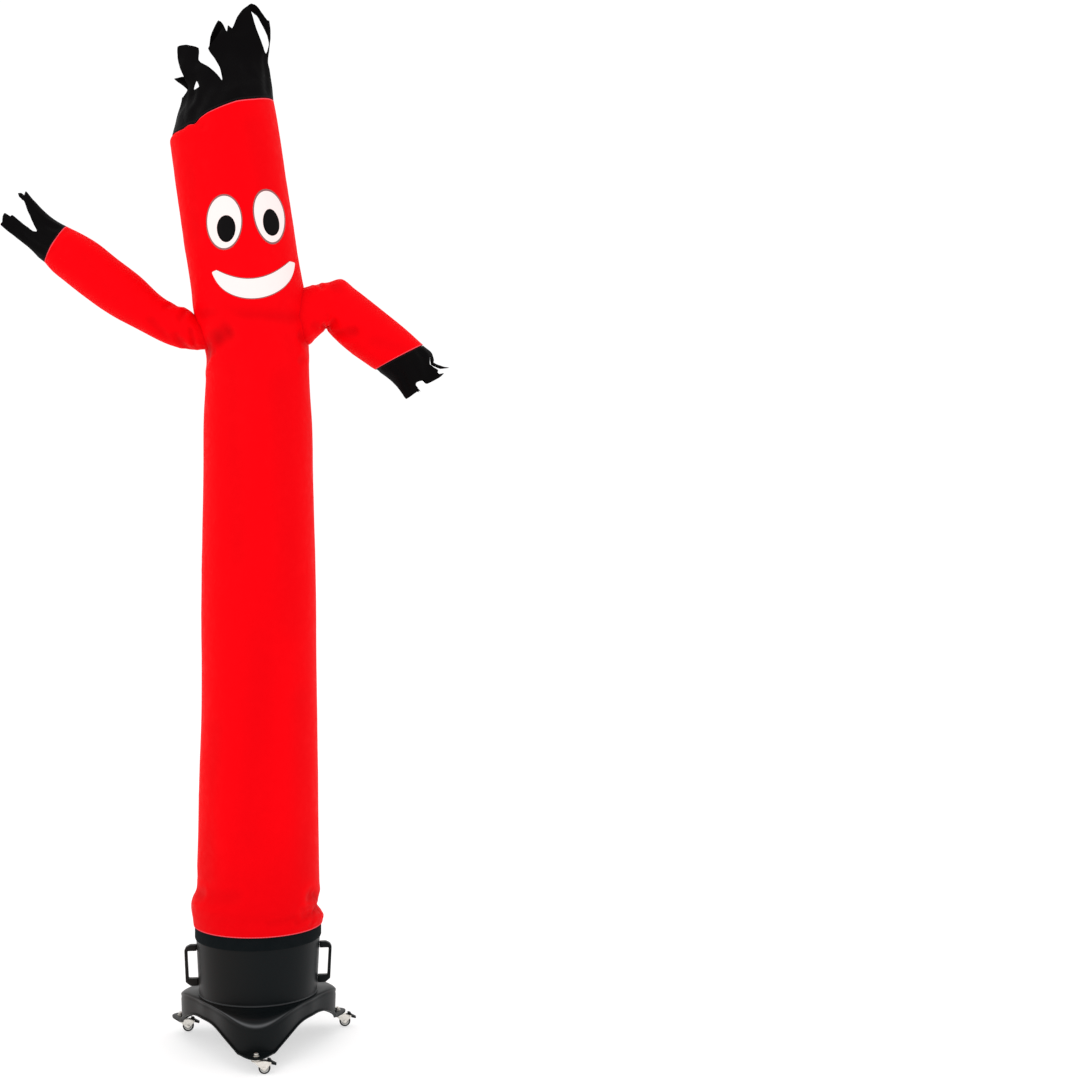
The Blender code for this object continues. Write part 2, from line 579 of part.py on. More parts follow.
def spoke_mesh(turn):
    """One S-curved spoke of the guard, from its inner ring to its outer ring."""
    curve = bpy.data.curves.new("spoke", "CURVE")
    curve.dimensions = "3D"
    curve.bevel_depth = SPOKE_WIRE
    curve.bevel_resolution = 0
    curve.use_fill_caps = True
    spline = curve.splines.new("POLY")
    spline.points.add(SPOKE_STEPS)
    for step, point in enumerate(spline.points):
        share = step / SPOKE_STEPS
        radius = GUARD_RINGS[0] + (GUARD_RINGS[-1] - GUARD_RINGS[0]) * share
        angle = turn + SPOKE_SWING * math.sin(math.tau * share)
        point.co = (radius * math.cos(angle), radius * math.sin(angle), 0.0, 1.0)
    holder = bpy.data.objects.new("spoke", curve)
    PARTS.objects.link(holder)
    bpy.context.view_layer.update()
    wire = bpy.data.meshes.new_from_object(holder.evaluated_get(bpy.context.evaluated_depsgraph_get()))
    bpy.data.objects.remove(holder, do_unlink=True)
    return wire


def make_guard():
    """Wire rings on curved spokes, with a flat disc at the middle."""
    rings = bmesh.new()
    for radius in GUARD_RINGS:
        profile = [rings.verts.new((radius + GUARD_WIRE * math.cos(corner * math.pi / 2), 0.0,
                                    GUARD_WIRE * math.sin(corner * math.pi / 2))) for corner in range(4)]
        for corner in range(4):
            rings.edges.new((profile[corner], profile[(corner + 1) % 4]))
    guard = part("guard", mesh_from(rings, "guard"), "bright_wire", location=(0.0, 0.0, GUARD_Z))
    swept(guard, GUARD_SIDES)
    spokes = bmesh.new()
    for step in range(GUARD_SPOKES):
        spokes.from_mesh(spoke_mesh(math.tau * (step + 0.5) / GUARD_SPOKES))
    bmesh.ops.remove_doubles(spokes, verts=spokes.verts, dist=MERGE)
    bmesh.ops.recalc_face_normals(spokes, faces=spokes.faces)
    boolean(guard, "UNION", cutter("guard_spokes", mesh_from(spokes, "spokes"), location=(0.0, 0.0, GUARD_Z)))
    low = GUARD_Z + GUARD_WIRE + GAP
    turned("guard_disc", ((DISC_BORE_R, low + DISC_THICK), (DISC_R, low + DISC_THICK),
                          (DISC_R, low), (DISC_BORE_R, low)), DISC_SIDES, "brushed_metal")


def make_handles():
    """A bracket of thick bar at each side of the drum."""
    for name, side in (("handle_left", -1.0), ("handle_right", 1.0)):
        outline = [(x * side, z) for x, z in HANDLE_OUTLINE]
        part(name, prism((outline,), -HANDLE_DEPTH / 2, HANDLE_DEPTH / 2), "black_plastic")


def off_foot(degrees):
    """The angle from the nearest foot, 0 to 60 degrees."""
    around = (degrees - FEET["front"]) % 120.0
    return min(around, 120.0 - around)


def base_profile(degrees):
    """The base's outer skin at one angle, as (radius, z), from its bore to the lip of its foot."""
    away = off_foot(degrees)
    near = (1.0 + math.cos(math.radians(3.0 * away))) / 2.0
    side = BASE_SIDE_R + (BASE_LOBE_R - BASE_SIDE_R) * near ** LOBE_POWER
    rise = 1.0 - (1.0 - max(away - ARCH_START, 0.0) / (60.0 - ARCH_START)) ** 3
    foot = FLANGE_TOP + (ARCH_TOP - FLANGE_TOP) * rise
    spread = math.cos(math.radians(min(away / FLANGE_SPREAD, 1.0) * 90.0)) ** 2
    lip = side - SKIRT_DRAW + LIP + (FLANGE_TIP_R - BASE_LOBE_R) * spread
    start = DRUM_FOOT_R + BASE_CLEAR
    drop = SADDLE_DROP + (LOBE_DROP - SADDLE_DROP) * near ** DROP_POWER
    points = [(BASE_BORE_R, BASE_TOP), (start, BASE_TOP)]
    for out, down in SHOULDER:
        points.append((start + (side - start) * out, BASE_TOP - drop * down))
    for share in (0.5, 1.0):
        points.append((side - SKIRT_DRAW * share, BASE_TOP - drop + (foot - BASE_TOP + drop) * share))
    points.append((lip, foot))
    return points


def make_base():
    """The moulded base, with a hole in each foot for the caster's bolt."""
    shape = bmesh.new()
    fans = []
    for step in range(BASE_SIDES):
        degrees = FEET["front"] + 360.0 * (step + 0.5) / BASE_SIDES
        turn = math.radians(degrees)
        fans.append([shape.verts.new((radius * math.cos(turn), radius * math.sin(turn), z))
                     for radius, z in base_profile(degrees)])
    for step, fan in enumerate(fans):
        after = fans[(step + 1) % BASE_SIDES]
        for row in range(len(fan) - 1):
            shape.faces.new((fan[row], fan[row + 1], after[row + 1], after[row]))
    base = part("base", mesh_from(shape, "base"), "black_plastic")
    walled(base, BASE_WALL, folded=True)
    shade_round(base.data)
    for foot, degrees in FEET.items():
        x, y = CASTER_R * math.cos(math.radians(degrees)), CASTER_R * math.sin(math.radians(degrees))
        hole = bore(KING_R, 0.0, 2 * FLANGE_TOP)
        boolean(base, "DIFFERENCE", cutter("hole_" + foot, hole, location=(x, y, 0.0)))


def fork_side():
    """The fork's side view, as (x, z): plate, a cheek down to the axle, and a tail to the pedal's pin."""
    points = [(FORK_REAR, FORK_PLATE_TOP), (FORK_REAR, FORK_PLATE_BOTTOM), (FORK_KNEE_X, FORK_KNEE_Z)]
    for x, z, radius, (first, turn, steps) in ((TRAIL, WHEEL_R, CHEEK_R, CHEEK_ARC),
                                               (PIN_X, PIN_Z, TAIL_R, TAIL_ARC)):
        for step in range(steps):
            angle = math.radians(first + turn * step)
            points.append((x + radius * math.cos(angle), z + radius * math.sin(angle)))
    points.append((FORK_PLATE_END, FORK_PLATE_TOP))
    return points


def block(x_range, y_range, z_range):
    """A plain box."""
    ranges = (x_range, y_range, z_range)
    middle = Matrix.Translation([(low + high) / 2 for low, high in ranges])
    size = Matrix.Diagonal([high - low for low, high in ranges] + [1.0])
    shape = bmesh.new()
    bmesh.ops.create_cube(shape, size=1.0, matrix=middle @ size)
    return mesh_from(shape, "block")


def make_bolt(foot, king):
    """What holds a caster to its foot: bolt, washer above the flange and cap below it."""
    bolt_low = FORK_PLATE_BOTTOM - GAP
    washer_low, washer_top = FLANGE_TOP + GAP, FLANGE_TOP + GAP + WASHER_TALL
    head_low, head_top = washer_top + GAP, washer_top + GAP + BOLT_HEAD_TALL
    cap_low, cap_top = FORK_PLATE_TOP + GAP, FLANGE_TOP - BASE_WALL - GAP
    turned("bolt_" + foot, ((0.0, head_top), (BOLT_HEAD_R - BOLT_BEVEL, head_top),
                            (BOLT_HEAD_R, head_top - BOLT_BEVEL), (BOLT_HEAD_R, head_low),
                            (KING_R, head_low), (KING_R, bolt_low), (COLLAR_UNDER_R, bolt_low),
                            (COLLAR_UNDER_R, bolt_low - COLLAR_UNDER_TALL),
                            (0.0, bolt_low - COLLAR_UNDER_TALL)),
           SMALL_SIDES, "nickel", closed=False, parent=king)
    eye = KING_R + GAP
    turned("washer_" + foot, ((eye, washer_top), (WASHER_R, washer_top), (WASHER_R, washer_low),
                              (eye, washer_low)), SMALL_SIDES, "nickel", parent=king)
    turned("cap_" + foot, ((eye, cap_top), (CAP_TOP_R, cap_top), (CAP_R, cap_top - CAP_SLOPE),
                           (CAP_R, cap_low), (eye, cap_low)), SMALL_SIDES, "nickel", parent=king)


def make_fork(foot, king):
    """The fork: a folded plate, open between its cheeks, bored for bolt, axle and pin."""
    fork = part("fork_" + foot, prism((fork_side(),), -FORK_OUT, FORK_OUT), "nickel", parent=king)
    room = (-FORK_IN, FORK_IN)
    slot = block((-FORK_DISC_R, 3 * TRAIL), room, (0.0, FORK_PLATE_BOTTOM))
    gate = block((GATE_START, 3 * TRAIL), room, (FORK_PLATE_BOTTOM / 2, 2 * FORK_PLATE_TOP))
    disc = rod(FORK_DISC_R, FORK_PLATE_BOTTOM, FORK_PLATE_TOP - DISC_SINK, ARM_SIDES)
    boolean(fork, "DIFFERENCE", cutter("fork_slot_" + foot, slot, parent=king))
    boolean(fork, "DIFFERENCE", cutter("fork_gate_" + foot, gate, parent=king))
    boolean(fork, "UNION", cutter("fork_disc_" + foot, disc, parent=king))
    hole = bore(KING_R, 0.0, 2 * FORK_PLATE_TOP)
    boolean(fork, "DIFFERENCE", cutter("king_bore_" + foot, hole, parent=king))
    for name, radius, x, z in (("axle_bore_", AXLE_R, TRAIL, WHEEL_R), ("pin_bore_", PIN_R, PIN_X, PIN_Z)):
        hole = bore(radius, -2 * FORK_OUT, 2 * FORK_OUT)
        boolean(fork, "DIFFERENCE", cutter(name + foot, hole, (x, 0.0, z), ACROSS, king))


def make_pins(foot, king):
    """The wheel's axle and the pedal's pin, each with a head at both ends."""
    seat, end = FORK_OUT + GAP, FORK_OUT + GAP + HEAD_TALL
    for name, radius, head_r, x, z in (("axle_", AXLE_R, AXLE_HEAD_R, TRAIL, WHEEL_R),
                                       ("pin_", PIN_R, PIN_HEAD_R, PIN_X, PIN_Z)):
        turned(name + foot, ((0.0, end), (head_r, end), (head_r, seat), (radius, seat),
                             (radius, -seat), (head_r, -seat), (head_r, -end), (0.0, -end)),
               SMALL_SIDES, "nickel", closed=False, location=(x, 0.0, z), rotation=ACROSS, parent=king)


def make_wheel(foot, king):
    """Tyre and rim, a flat of each resting on the floor."""
    place = {"location": (TRAIL, 0.0, WHEEL_R), "rotation": (math.pi / 2, math.pi / WHEEL_SIDES, 0.0),
             "parent": king}
    corner = 1.0 / math.cos(math.pi / WHEEL_SIDES)
    tread, inner, rim = WHEEL_R * corner, (RIM_R + GAP) * corner, RIM_R * corner
    half, hub = WHEEL_WIDTH / 2, AXLE_R + HUB_GAP
    turned("tyre_" + foot, ((inner, half), (tread - TYRE_BEVEL_R, half), (tread, half - TYRE_BEVEL_W),
                            (tread, TYRE_BEVEL_W - half), (tread - TYRE_BEVEL_R, -half), (inner, -half)),
           WHEEL_SIDES, "rubber", **place)
    turned("rim_" + foot, ((hub, half), (rim, half - RIM_BEVEL), (rim, RIM_BEVEL - half), (hub, -half)),
           WHEEL_SIDES, "pale_rim", **place)


def make_pedal(foot, king):
    """The brake pedal, which rocks on its pin between the fork's tails."""
    half = FORK_IN - PEDAL_PLAY
    pedal = part("pedal_" + foot, prism((PEDAL_SIDE,), -half, half), "black_plastic",
                 location=(PIN_X, 0.0, PIN_Z), parent=king)
    hole = bore(PIN_R, -2 * FORK_OUT, 2 * FORK_OUT)
    boolean(pedal, "DIFFERENCE", cutter("pedal_bore_" + foot, hole, (PIN_X, 0.0, PIN_Z), ACROSS, king))


def make_caster(foot, degrees):
    """A swivel caster with a brake."""
    turn = math.radians(degrees)
    king = empty("swivel_" + foot, (CASTER_R * math.cos(turn), CASTER_R * math.sin(turn), 0.0), AXIS)
    make_bolt(foot, king)
    make_fork(foot, king)
    make_pins(foot, king)
    make_wheel(foot, king)
    make_pedal(foot, king)


make_body_and_arms()
make_crown()
make_hands()
make_face()
make_outlet()
make_guard()
make_handles()
make_base()
for caster_foot, caster_degrees in FEET.items():
    make_caster(caster_foot, caster_degrees)
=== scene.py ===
"""Looks of an inflatable air dancer on its castered blower: sewn nylon over a moulded blower.

Metres, +Z up, floor at z = 0. The sections follow the object as it is put together, from the floor up.
"""

import bisect
import math

import bpy
from mathutils import Matrix, Vector, noise
from mathutils.bvhtree import BVHTree


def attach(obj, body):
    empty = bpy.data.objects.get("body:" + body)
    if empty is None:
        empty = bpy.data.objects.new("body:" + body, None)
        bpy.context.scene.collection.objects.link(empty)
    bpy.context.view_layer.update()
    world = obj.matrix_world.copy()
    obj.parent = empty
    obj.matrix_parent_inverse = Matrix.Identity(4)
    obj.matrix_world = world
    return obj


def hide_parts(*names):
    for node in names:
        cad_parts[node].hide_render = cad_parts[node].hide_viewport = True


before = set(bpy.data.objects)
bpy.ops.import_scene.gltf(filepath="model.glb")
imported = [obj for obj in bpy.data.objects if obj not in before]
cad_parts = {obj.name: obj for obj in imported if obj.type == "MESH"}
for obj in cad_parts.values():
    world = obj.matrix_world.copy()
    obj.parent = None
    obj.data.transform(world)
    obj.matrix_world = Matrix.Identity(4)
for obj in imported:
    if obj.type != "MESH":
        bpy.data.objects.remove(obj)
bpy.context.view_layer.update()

# ---- Moulded base ------------------------------------------------------------------------------
# One shell of black polyethylene, blow moulded and trimmed: three lobes over the feet, an arch between
# each two, and a round bore that the drum stands on. A caster is bolted through each foot's flat pad.

AXIS_X, AXIS_Y = 0.0884, 0.0480          # the blower's upright axis
AXIS = Vector((AXIS_X, AXIS_Y, 0.0))
WELD = 0.00002
TIP_R = 0.0001                           # the radius at which a capped shape is closed
MILLIMETRE = 0.001
DRUM_R, DRUM_FOOT_R = 0.173, 0.1655
FEET = {"front": -90.0, "right": 30.0, "left": 150.0}
BASE_WALL = 0.0035
BASE_BORE_R = 0.150
BASE_TOP, BASE_CLEAR = 0.1487, 0.001
BASE_SIDE_R, BASE_LOBE_R, LOBE_POWER = 0.174, 0.240, 1.4
SADDLE_DROP, LOBE_DROP, DROP_POWER = 0.003, 0.036, 4.5
SHOULDER = (
    # shares of the way out and down
    (0.0, 0.0), (0.15, 0.12), (0.30, 0.20), (0.50, 0.245), (0.66, 0.30), (0.80, 0.43), (0.90, 0.62),
    (0.965, 0.80), (0.995, 0.92), (1.0, 1.0),
)
SKIRT_DRAW = 0.003
BASE_ROUND, BASE_ROUND_DEG = 0.0011, 50.0
GROOVE_DOWN, GROOVE_WIDE, GROOVE_DEEP = 0.007, 0.0035, 0.0014      # under the shoulder's edge
FLANGE_TOP = 0.0475
FLANGE_TIP_R, FLANGE_SPREAD = 0.283, 15.0
ARCH_TOP, ARCH_START = 0.102, 12.5
BASE_LIP = 0.004
BASE_SIDES, SHOULDER_STEPS, SKIRT_STEPS = 240, 22, 24
# painted light: the plastic is painted lighter and warmer to the left, as a warm reflection, and darker and
# cooler to the right, as shade
PLASTIC_LIT_WARM = (0.0110, 0.0088, 0.0074, 1.0)
PLASTIC_SHADED_COOL = (0.0022, 0.0040, 0.0048, 1.0)
PLASTIC_WORN = (0.0055, 0.0060, 0.0062, 1.0)
LIT_SIDE_X, SHADED_SIDE_X = -0.20, 0.02      # across the blower, from its axis
HIGHLIGHT_ATTRIBUTE = "painted_highlight"                          # how much painted highlight each place gets, from 0 to 1
PAINTED_HIGHLIGHT_GREY = (0.085, 0.088, 0.092, 1.0)
HIGHLIGHT_DOWN, HIGHLIGHT_WIDE = 0.80, 0.10       # the painted highlight's line, as shares of the shoulder's drop
HIGHLIGHT_FROM_DEG, HIGHLIGHT_TO_DEG, HIGHLIGHT_FADE_DEG = -168.0, -58.0, 25.0


def operator(operation, swapped=False):
    """A Math node's operation, made an operator of Signal."""
    def combine(first, *second):
        values = (first, *second)
        return first.maths(operation, *(reversed(values) if swapped else values))
    return combine


class Signal:
    """A value that varies over a surface. Arithmetic on it adds Math nodes to its finish."""

    __add__ = __radd__ = operator("ADD")
    __mul__ = __rmul__ = operator("MULTIPLY")
    __sub__, __rsub__ = operator("SUBTRACT"), operator("SUBTRACT", swapped=True)
    __pow__, __abs__ = operator("POWER"), operator("ABSOLUTE")
    __lt__, __gt__ = operator("LESS_THAN"), operator("GREATER_THAN")

    def __init__(self, finish, socket):
        self.finish = finish
        self.socket = socket

    def maths(self, operation, *values):
        return self.finish.node("ShaderNodeMath", {"operation": operation}, dict(enumerate(values)))

    def wave(self, period):
        """A wave from -1 to 1 along this value."""
        return self.maths("SINE", self * (math.tau / period))

    def clipped(self):
        return self.maths("MINIMUM", self.maths("MAXIMUM", self, 0.0), 1.0)

    def bell(self, middle, half_width):
        """1 at the middle, falling to nothing over the half width."""
        return (1.0 - abs(self - middle) * (1.0 / half_width)).clipped()


class Finish:
    """A material: one Principled shader and the nodes that vary it over the surface."""

    def __init__(self, name, **constants):
        self.material = bpy.data.materials.new(name)
        self.material.use_nodes = True
        self.tree = self.material.node_tree
        self.shader = self.tree.nodes["Principled BSDF"]
        for socket, value in constants.items():
            self.shader.inputs[socket.replace("_", " ")].default_value = value

    def node(self, kind, settings=(), inputs=(), output=0):
        """Adds a node: its settings first, then the values or links of its sockets."""
        made = self.tree.nodes.new(kind)
        for name, value in dict(settings).items():
            setattr(made, name, value)
        for name, value in dict(inputs).items():
            if isinstance(value, Signal):
                self.tree.links.new(value.socket, made.inputs[name])
            else:
                made.inputs[name].default_value = value
        return Signal(self, made.outputs[output])

    def place(self):
        return self.node("ShaderNodeTexCoord", output="Object")

    def stretched(self, scale):
        """The place on the object, its axes scaled."""
        return self.node("ShaderNodeMapping", {"vector_type": "POINT"},
                         {"Vector": self.place(), "Scale": scale})

    def stored(self, attribute):
        """A number that the mesh keeps for each of its points."""
        return self.node("ShaderNodeAttribute", {"attribute_name": attribute}, output=2)

    def on_cloth(self):
        """How far across and along its flat cloth a place lies, from 0 to 1."""
        flat = self.node("ShaderNodeUVMap", {"uv_map": "UVMap"})
        across = self.node("ShaderNodeSeparateXYZ", {}, {0: flat})
        return across, Signal(self, across.socket.node.outputs[1])

    def cloud(self, scale, detail=3.0, vector=None):
        """Soft noise from 0 to 1; scale is in waves a metre."""
        return self.node("ShaderNodeTexNoise", {"noise_dimensions": "3D"},
                         {"Vector": vector or self.place(), "Scale": scale, "Detail": detail})

    def blended(self, factor, first, second):
        """Two colours mixed by a factor."""
        return self.node("ShaderNodeMix", {"data_type": "RGBA"}, {0: factor, 6: first, 7: second}, output=2)

    def relief(self, height_mm):
        """Makes a height in millimetres show as bumps."""
        self.feed("Normal", self.node("ShaderNodeBump", {}, {
            "Strength": 1.0, "Distance": MILLIMETRE, "Height": height_mm}))

    def feed(self, socket, signal):
        self.tree.links.new(signal.socket, self.shader.inputs[socket])


def moulded_plastic(name, grain_mm=0.05):
    """Satin black polyethylene: a soft mould grain, dusty in places, with a painted warm reflection on its
    left side, painted shade towards its right, and painted highlights where the mesh marks them.
    """
    finish = Finish(name, Specular_IOR_Level=0.10)
    # painted light: a painted warm reflection on the left side, fading to painted shade on the right
    across = finish.node("ShaderNodeSeparateXYZ", {}, {0: finish.place()}) - (AXIS_X + LIT_SIDE_X)
    toward_shade = (across * (1.0 / (SHADED_SIDE_X - LIT_SIDE_X))).clipped()
    dust = finish.cloud(7.0)
    grain = finish.cloud(900.0, 2.0)
    sag = finish.cloud(11.0, 1.0)
    shell = finish.blended(toward_shade, PLASTIC_LIT_WARM, PLASTIC_SHADED_COOL)
    dusty = finish.blended(dust * 0.4, shell, PLASTIC_WORN)
    # painted highlight: a lighter grey wherever the mesh marks it
    finish.feed("Base Color", finish.blended(finish.stored(HIGHLIGHT_ATTRIBUTE), dusty, PAINTED_HIGHLIGHT_GREY))
    finish.feed("Roughness", 0.30 + dust * 0.12 + grain * 0.05)
    finish.relief(grain * grain_mm + sag * 0.5)
    return finish.material


def flowing(rows, steps):
    """Carries rows of numbers on as smooth lines, read at even steps of their length."""
    knots = [0.0]
    for low, high in zip(rows, rows[1:]):
        knots.append(knots[-1] + math.dist(low, high))
    slopes = [[(b - a) / (knots[i + 1] - knots[i]) for a, b in zip(rows[i], rows[i + 1])]
              for i in range(len(rows) - 1)]
    bends = [slopes[0]]
    for i in range(1, len(rows) - 1):
        before, after = knots[i] - knots[i - 1], knots[i + 1] - knots[i]
        bends.append([(a * after + b * before) / (before + after)
                      for a, b in zip(slopes[i - 1], slopes[i])])
    bends.append(slopes[-1])
    read = []
    for step in range(steps + 1):
        reach = knots[-1] * step / steps
        i = min(bisect.bisect_right(knots, reach), len(rows) - 1) - 1
        span = knots[i + 1] - knots[i]
        t = (reach - knots[i]) / span
        read.append(tuple(
            a * (1 + 2 * t) * (1 - t) ** 2 + m * span * t * (1 - t) ** 2
            + b * t * t * (3 - 2 * t) + n * span * t * t * (t - 1)
            for a, b, m, n in zip(rows[i], rows[i + 1], bends[i], bends[i + 1])))
    return read


def begun(name, add, **settings):
    """A new piece, started as one of Blender's primitives."""
    bpy.ops.object.select_all(action="DESELECT")
    add(**settings)
    piece = bpy.context.object
    piece.name = piece.data.name = name
    return piece


def pulled(name, rows, sides, centre=AXIS, capped=False, closed=False):
    """A circle drawn out through rows of (radius, z), as on a wheel, and back to the first if closed."""
    rows = (*rows, rows[0]) if closed else rows
    radius, z = rows[0]
    piece = begun(name, bpy.ops.mesh.primitive_circle_add, vertices=sides, radius=radius,
                  fill_type="NGON" if capped else "NOTHING", location=(centre.x, centre.y, centre.z + z))
    bpy.ops.object.transform_apply(location=True, rotation=True, scale=True)
    bpy.ops.object.mode_set(mode="EDIT")
    bpy.ops.mesh.select_all(action="SELECT")
    for (old_radius, old_z), (radius, z) in zip(rows, rows[1:]):
        grow = radius / old_radius
        bpy.ops.mesh.extrude_region_move(TRANSFORM_OT_translate={"value": (0.0, 0.0, z - old_z)})
        bpy.ops.transform.resize(value=(grow, grow, 1.0),
                                 center_override=(centre.x, centre.y, centre.z + z))
    welded()
    bpy.ops.object.mode_set(mode="OBJECT")
    return piece


def welded():
    """In edit mode: merges points that meet, then turns every face outwards."""
    bpy.ops.mesh.select_all(action="SELECT")
    bpy.ops.mesh.remove_doubles(threshold=WELD)
    bpy.ops.mesh.normals_make_consistent(inside=False)


def chosen(piece):
    """Makes a piece the one that operators work on."""
    bpy.ops.object.select_all(action="DESELECT")
    piece.select_set(True)
    bpy.context.view_layer.objects.active = piece


def smoothed(piece, degrees=32.0):
    """Smooth shading, with creases at sharper edges."""
    chosen(piece)
    bpy.ops.object.shade_smooth_by_angle(angle=math.radians(degrees))


def applied(piece, kind, **settings):
    """Gives a piece a modifier and applies it."""
    change = piece.modifiers.new(kind, kind)
    for name, value in settings.items():
        setattr(change, name, value)
    chosen(piece)
    bpy.ops.object.modifier_apply(modifier=change.name)


def softened(piece, width, segments=2, degrees=40.0):
    """Rounds the edges that are sharper than an angle."""
    applied(piece, "BEVEL", width=width, segments=segments, limit_method="ANGLE",
            angle_limit=math.radians(degrees))
    smoothed(piece)


def walled(piece, thickness, even=False):
    """Gives an open shell its wall, inwards of it."""
    applied(piece, "SOLIDIFY", thickness=thickness, offset=-1.0, use_even_offset=True,
            use_quality_normals=even)


def base_place(degrees, share_row):
    """A place on the base's outer skin: its bore, its shoulder, its skirt and last its lip."""
    around = (degrees - FEET["front"]) % 120.0
    away = min(around, 120.0 - around)
    near = (1.0 + math.cos(math.radians(3.0 * away))) / 2.0
    side = BASE_SIDE_R + (BASE_LOBE_R - BASE_SIDE_R) * near ** LOBE_POWER
    rise = 1.0 - (1.0 - max(away - ARCH_START, 0.0) / (60.0 - ARCH_START)) ** 3
    foot = FLANGE_TOP + (ARCH_TOP - FLANGE_TOP) * rise
    spread = math.cos(math.radians(min(away / FLANGE_SPREAD, 1.0) * 90.0)) ** 2
    lip = side - SKIRT_DRAW + BASE_LIP + (FLANGE_TIP_R - BASE_LOBE_R) * spread
    drop = SADDLE_DROP + (LOBE_DROP - SADDLE_DROP) * near ** DROP_POWER
    start, shoulder_z = DRUM_FOOT_R + BASE_CLEAR, BASE_TOP - drop
    if share_row == 0:
        return BASE_BORE_R, BASE_TOP
    if share_row <= 1 + SHOULDER_STEPS:
        out, down = shoulder_line[share_row - 1]
        return start + (side - start) * out, BASE_TOP - drop * down
    if share_row <= 1 + SHOULDER_STEPS + SKIRT_STEPS:
        down = (share_row - 1 - SHOULDER_STEPS) / SKIRT_STEPS
        below = (shoulder_z - foot) * down
        groove = GROOVE_DEEP * math.exp(-((below - GROOVE_DOWN) / GROOVE_WIDE) ** 2)
        return side - SKIRT_DRAW * down - groove, shoulder_z - below
    return lip, foot


shoulder_line = flowing(SHOULDER, SHOULDER_STEPS)
base_rows = 3 + SHOULDER_STEPS + SKIRT_STEPS
base = pulled("base_shell", [(1.0, -float(row)) for row in range(base_rows)], BASE_SIDES)
base_highlights = base.data.attributes.new(HIGHLIGHT_ATTRIBUTE, "FLOAT", "POINT")
for number, vertex in enumerate(base.data.vertices):
    row = round(-vertex.co.z)
    turn = math.atan2(vertex.co.y - AXIS_Y, vertex.co.x - AXIS_X)
    radius, z = base_place(math.degrees(turn), row)
    vertex.co = AXIS + Vector((radius * math.cos(turn), radius * math.sin(turn), z))
    # painted highlight: a thin lighter line along the shoulder's rounded edge, from the left lobe round to
    # the front
    if 1 <= row <= 1 + SHOULDER_STEPS:
        off_line = (shoulder_line[row - 1][1] - HIGHLIGHT_DOWN) / HIGHLIGHT_WIDE
        into = min(math.degrees(turn) - HIGHLIGHT_FROM_DEG, HIGHLIGHT_TO_DEG - math.degrees(turn)) / HIGHLIGHT_FADE_DEG
        base_highlights.data[number].value = math.exp(-off_line * off_line) * min(max(into, 0.0), 1.0)
walled(base, BASE_WALL, even=True)
softened(base, BASE_ROUND, degrees=BASE_ROUND_DEG)
satin_black = moulded_plastic("moulded_black_shell")
base.data.materials.append(satin_black)
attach(base, "body")
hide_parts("base")

# ---- Casters -----------------------------------------------------------------------------------
# Three 32 mm swivel casters with brakes, bought in. Each is a folded nickel-plated fork under a round
# cap, a rubber tyre on a pale rim, a riveted axle and a black pedal, held to its pad by one bolt.

CASTER_R = 0.260
WHEEL_R, WHEEL_WIDTH, WHEEL_SIDES, TRAIL = 0.016, 0.0130, 72, 0.022
RIM_R = 0.0112
AXLE_R, AXLE_HEAD_R = 0.0022, 0.0046
PIN_X, PIN_Z, PIN_R, PIN_HEAD_R = 0.0370, 0.0300, 0.0016, 0.0030
FORK_IN, FORK_OUT = 0.0078, 0.0093
FORK_PLATE_BOTTOM, FORK_PLATE_TOP = 0.0340, 0.0358
CAP_R, CAP_TOP_R = 0.0122, 0.0085
BOLT_HEAD_R, BOLT_HEAD_TALL, SOCKET_R, SOCKET_DEEP = 0.0068, 0.0062, 0.0034, 0.0034
WASHER_R, WASHER_TALL = 0.0088, 0.0007
KING_R = 0.004
SEAT = 0.0003                            # the running gap between parts
BORE_REACH = 0.02
FORK_ROUND, PEDAL_ROUND, PEDAL_ROUND_DEG = 0.00045, 0.0003, 35.0
PEDAL_TOP = ((-0.0034, 0.0024), (-0.0080, 0.0088), (-0.0062, 0.0118), (0.0010, 0.0098), (0.0042, 0.0040))
NICKEL = (0.84, 0.81, 0.76, 1.0)
NICKEL_DULL = (0.58, 0.55, 0.50, 1.0)
TYRE_BLACK = (0.010, 0.010, 0.011, 1.0)
TYRE_DUST = (0.040, 0.038, 0.035, 1.0)
RIM_PALE = (0.64, 0.64, 0.62, 1.0)
RIM_GREY = (0.42, 0.41, 0.39, 1.0)


def plated(name, bright, dull, scratch=220.0):
    """Bright plating, brushed and dulled in patches."""
    finish = Finish(name, Metallic=1.0)
    patches = finish.cloud(160.0, 4.0)
    lines = finish.cloud(scratch, 2.0, finish.stretched((1.0, 1.0, 14.0)))
    finish.feed("Base Color", finish.blended(patches, bright, dull))
    finish.feed("Roughness", 0.16 + patches * 0.22 + lines * 0.10)
    finish.relief(lines * 0.02)
    return finish.material


def tyre_rubber():
    """Black rubber, dusty on its tread."""
    finish = Finish("caster_rubber", Specular_IOR_Level=0.3)
    dust = finish.cloud(260.0, 5.0)
    finish.feed("Base Color", finish.blended(dust * dust, TYRE_BLACK, TYRE_DUST))
    finish.feed("Roughness", 0.62 + dust * 0.25)
    finish.relief(dust * 0.08)
    return finish.material


def rim_nylon():
    """Pale grey moulded nylon, grubby in places."""
    finish = Finish("caster_rim_nylon", Specular_IOR_Level=0.45)
    grime = finish.cloud(340.0, 4.0)
    finish.feed("Base Color", finish.blended(grime, RIM_PALE, RIM_GREY))
    finish.feed("Roughness", 0.30 + grime * 0.25)
    finish.relief(finish.cloud(1500.0, 2.0) * 0.03)
    return finish.material


def laid_over(piece, x, z):
    """Turns a piece made about the upright axis over onto Y, at a place on the caster's side."""
    piece.data.transform(Matrix.Translation((x, 0.0, z)) @ Matrix.Rotation(math.pi / 2, 4, "X"))


def mirrored(profile):
    """A profile of (radius, z), followed back by its mirror image."""
    return *profile, *((radius, -z) for radius, z in reversed(profile))


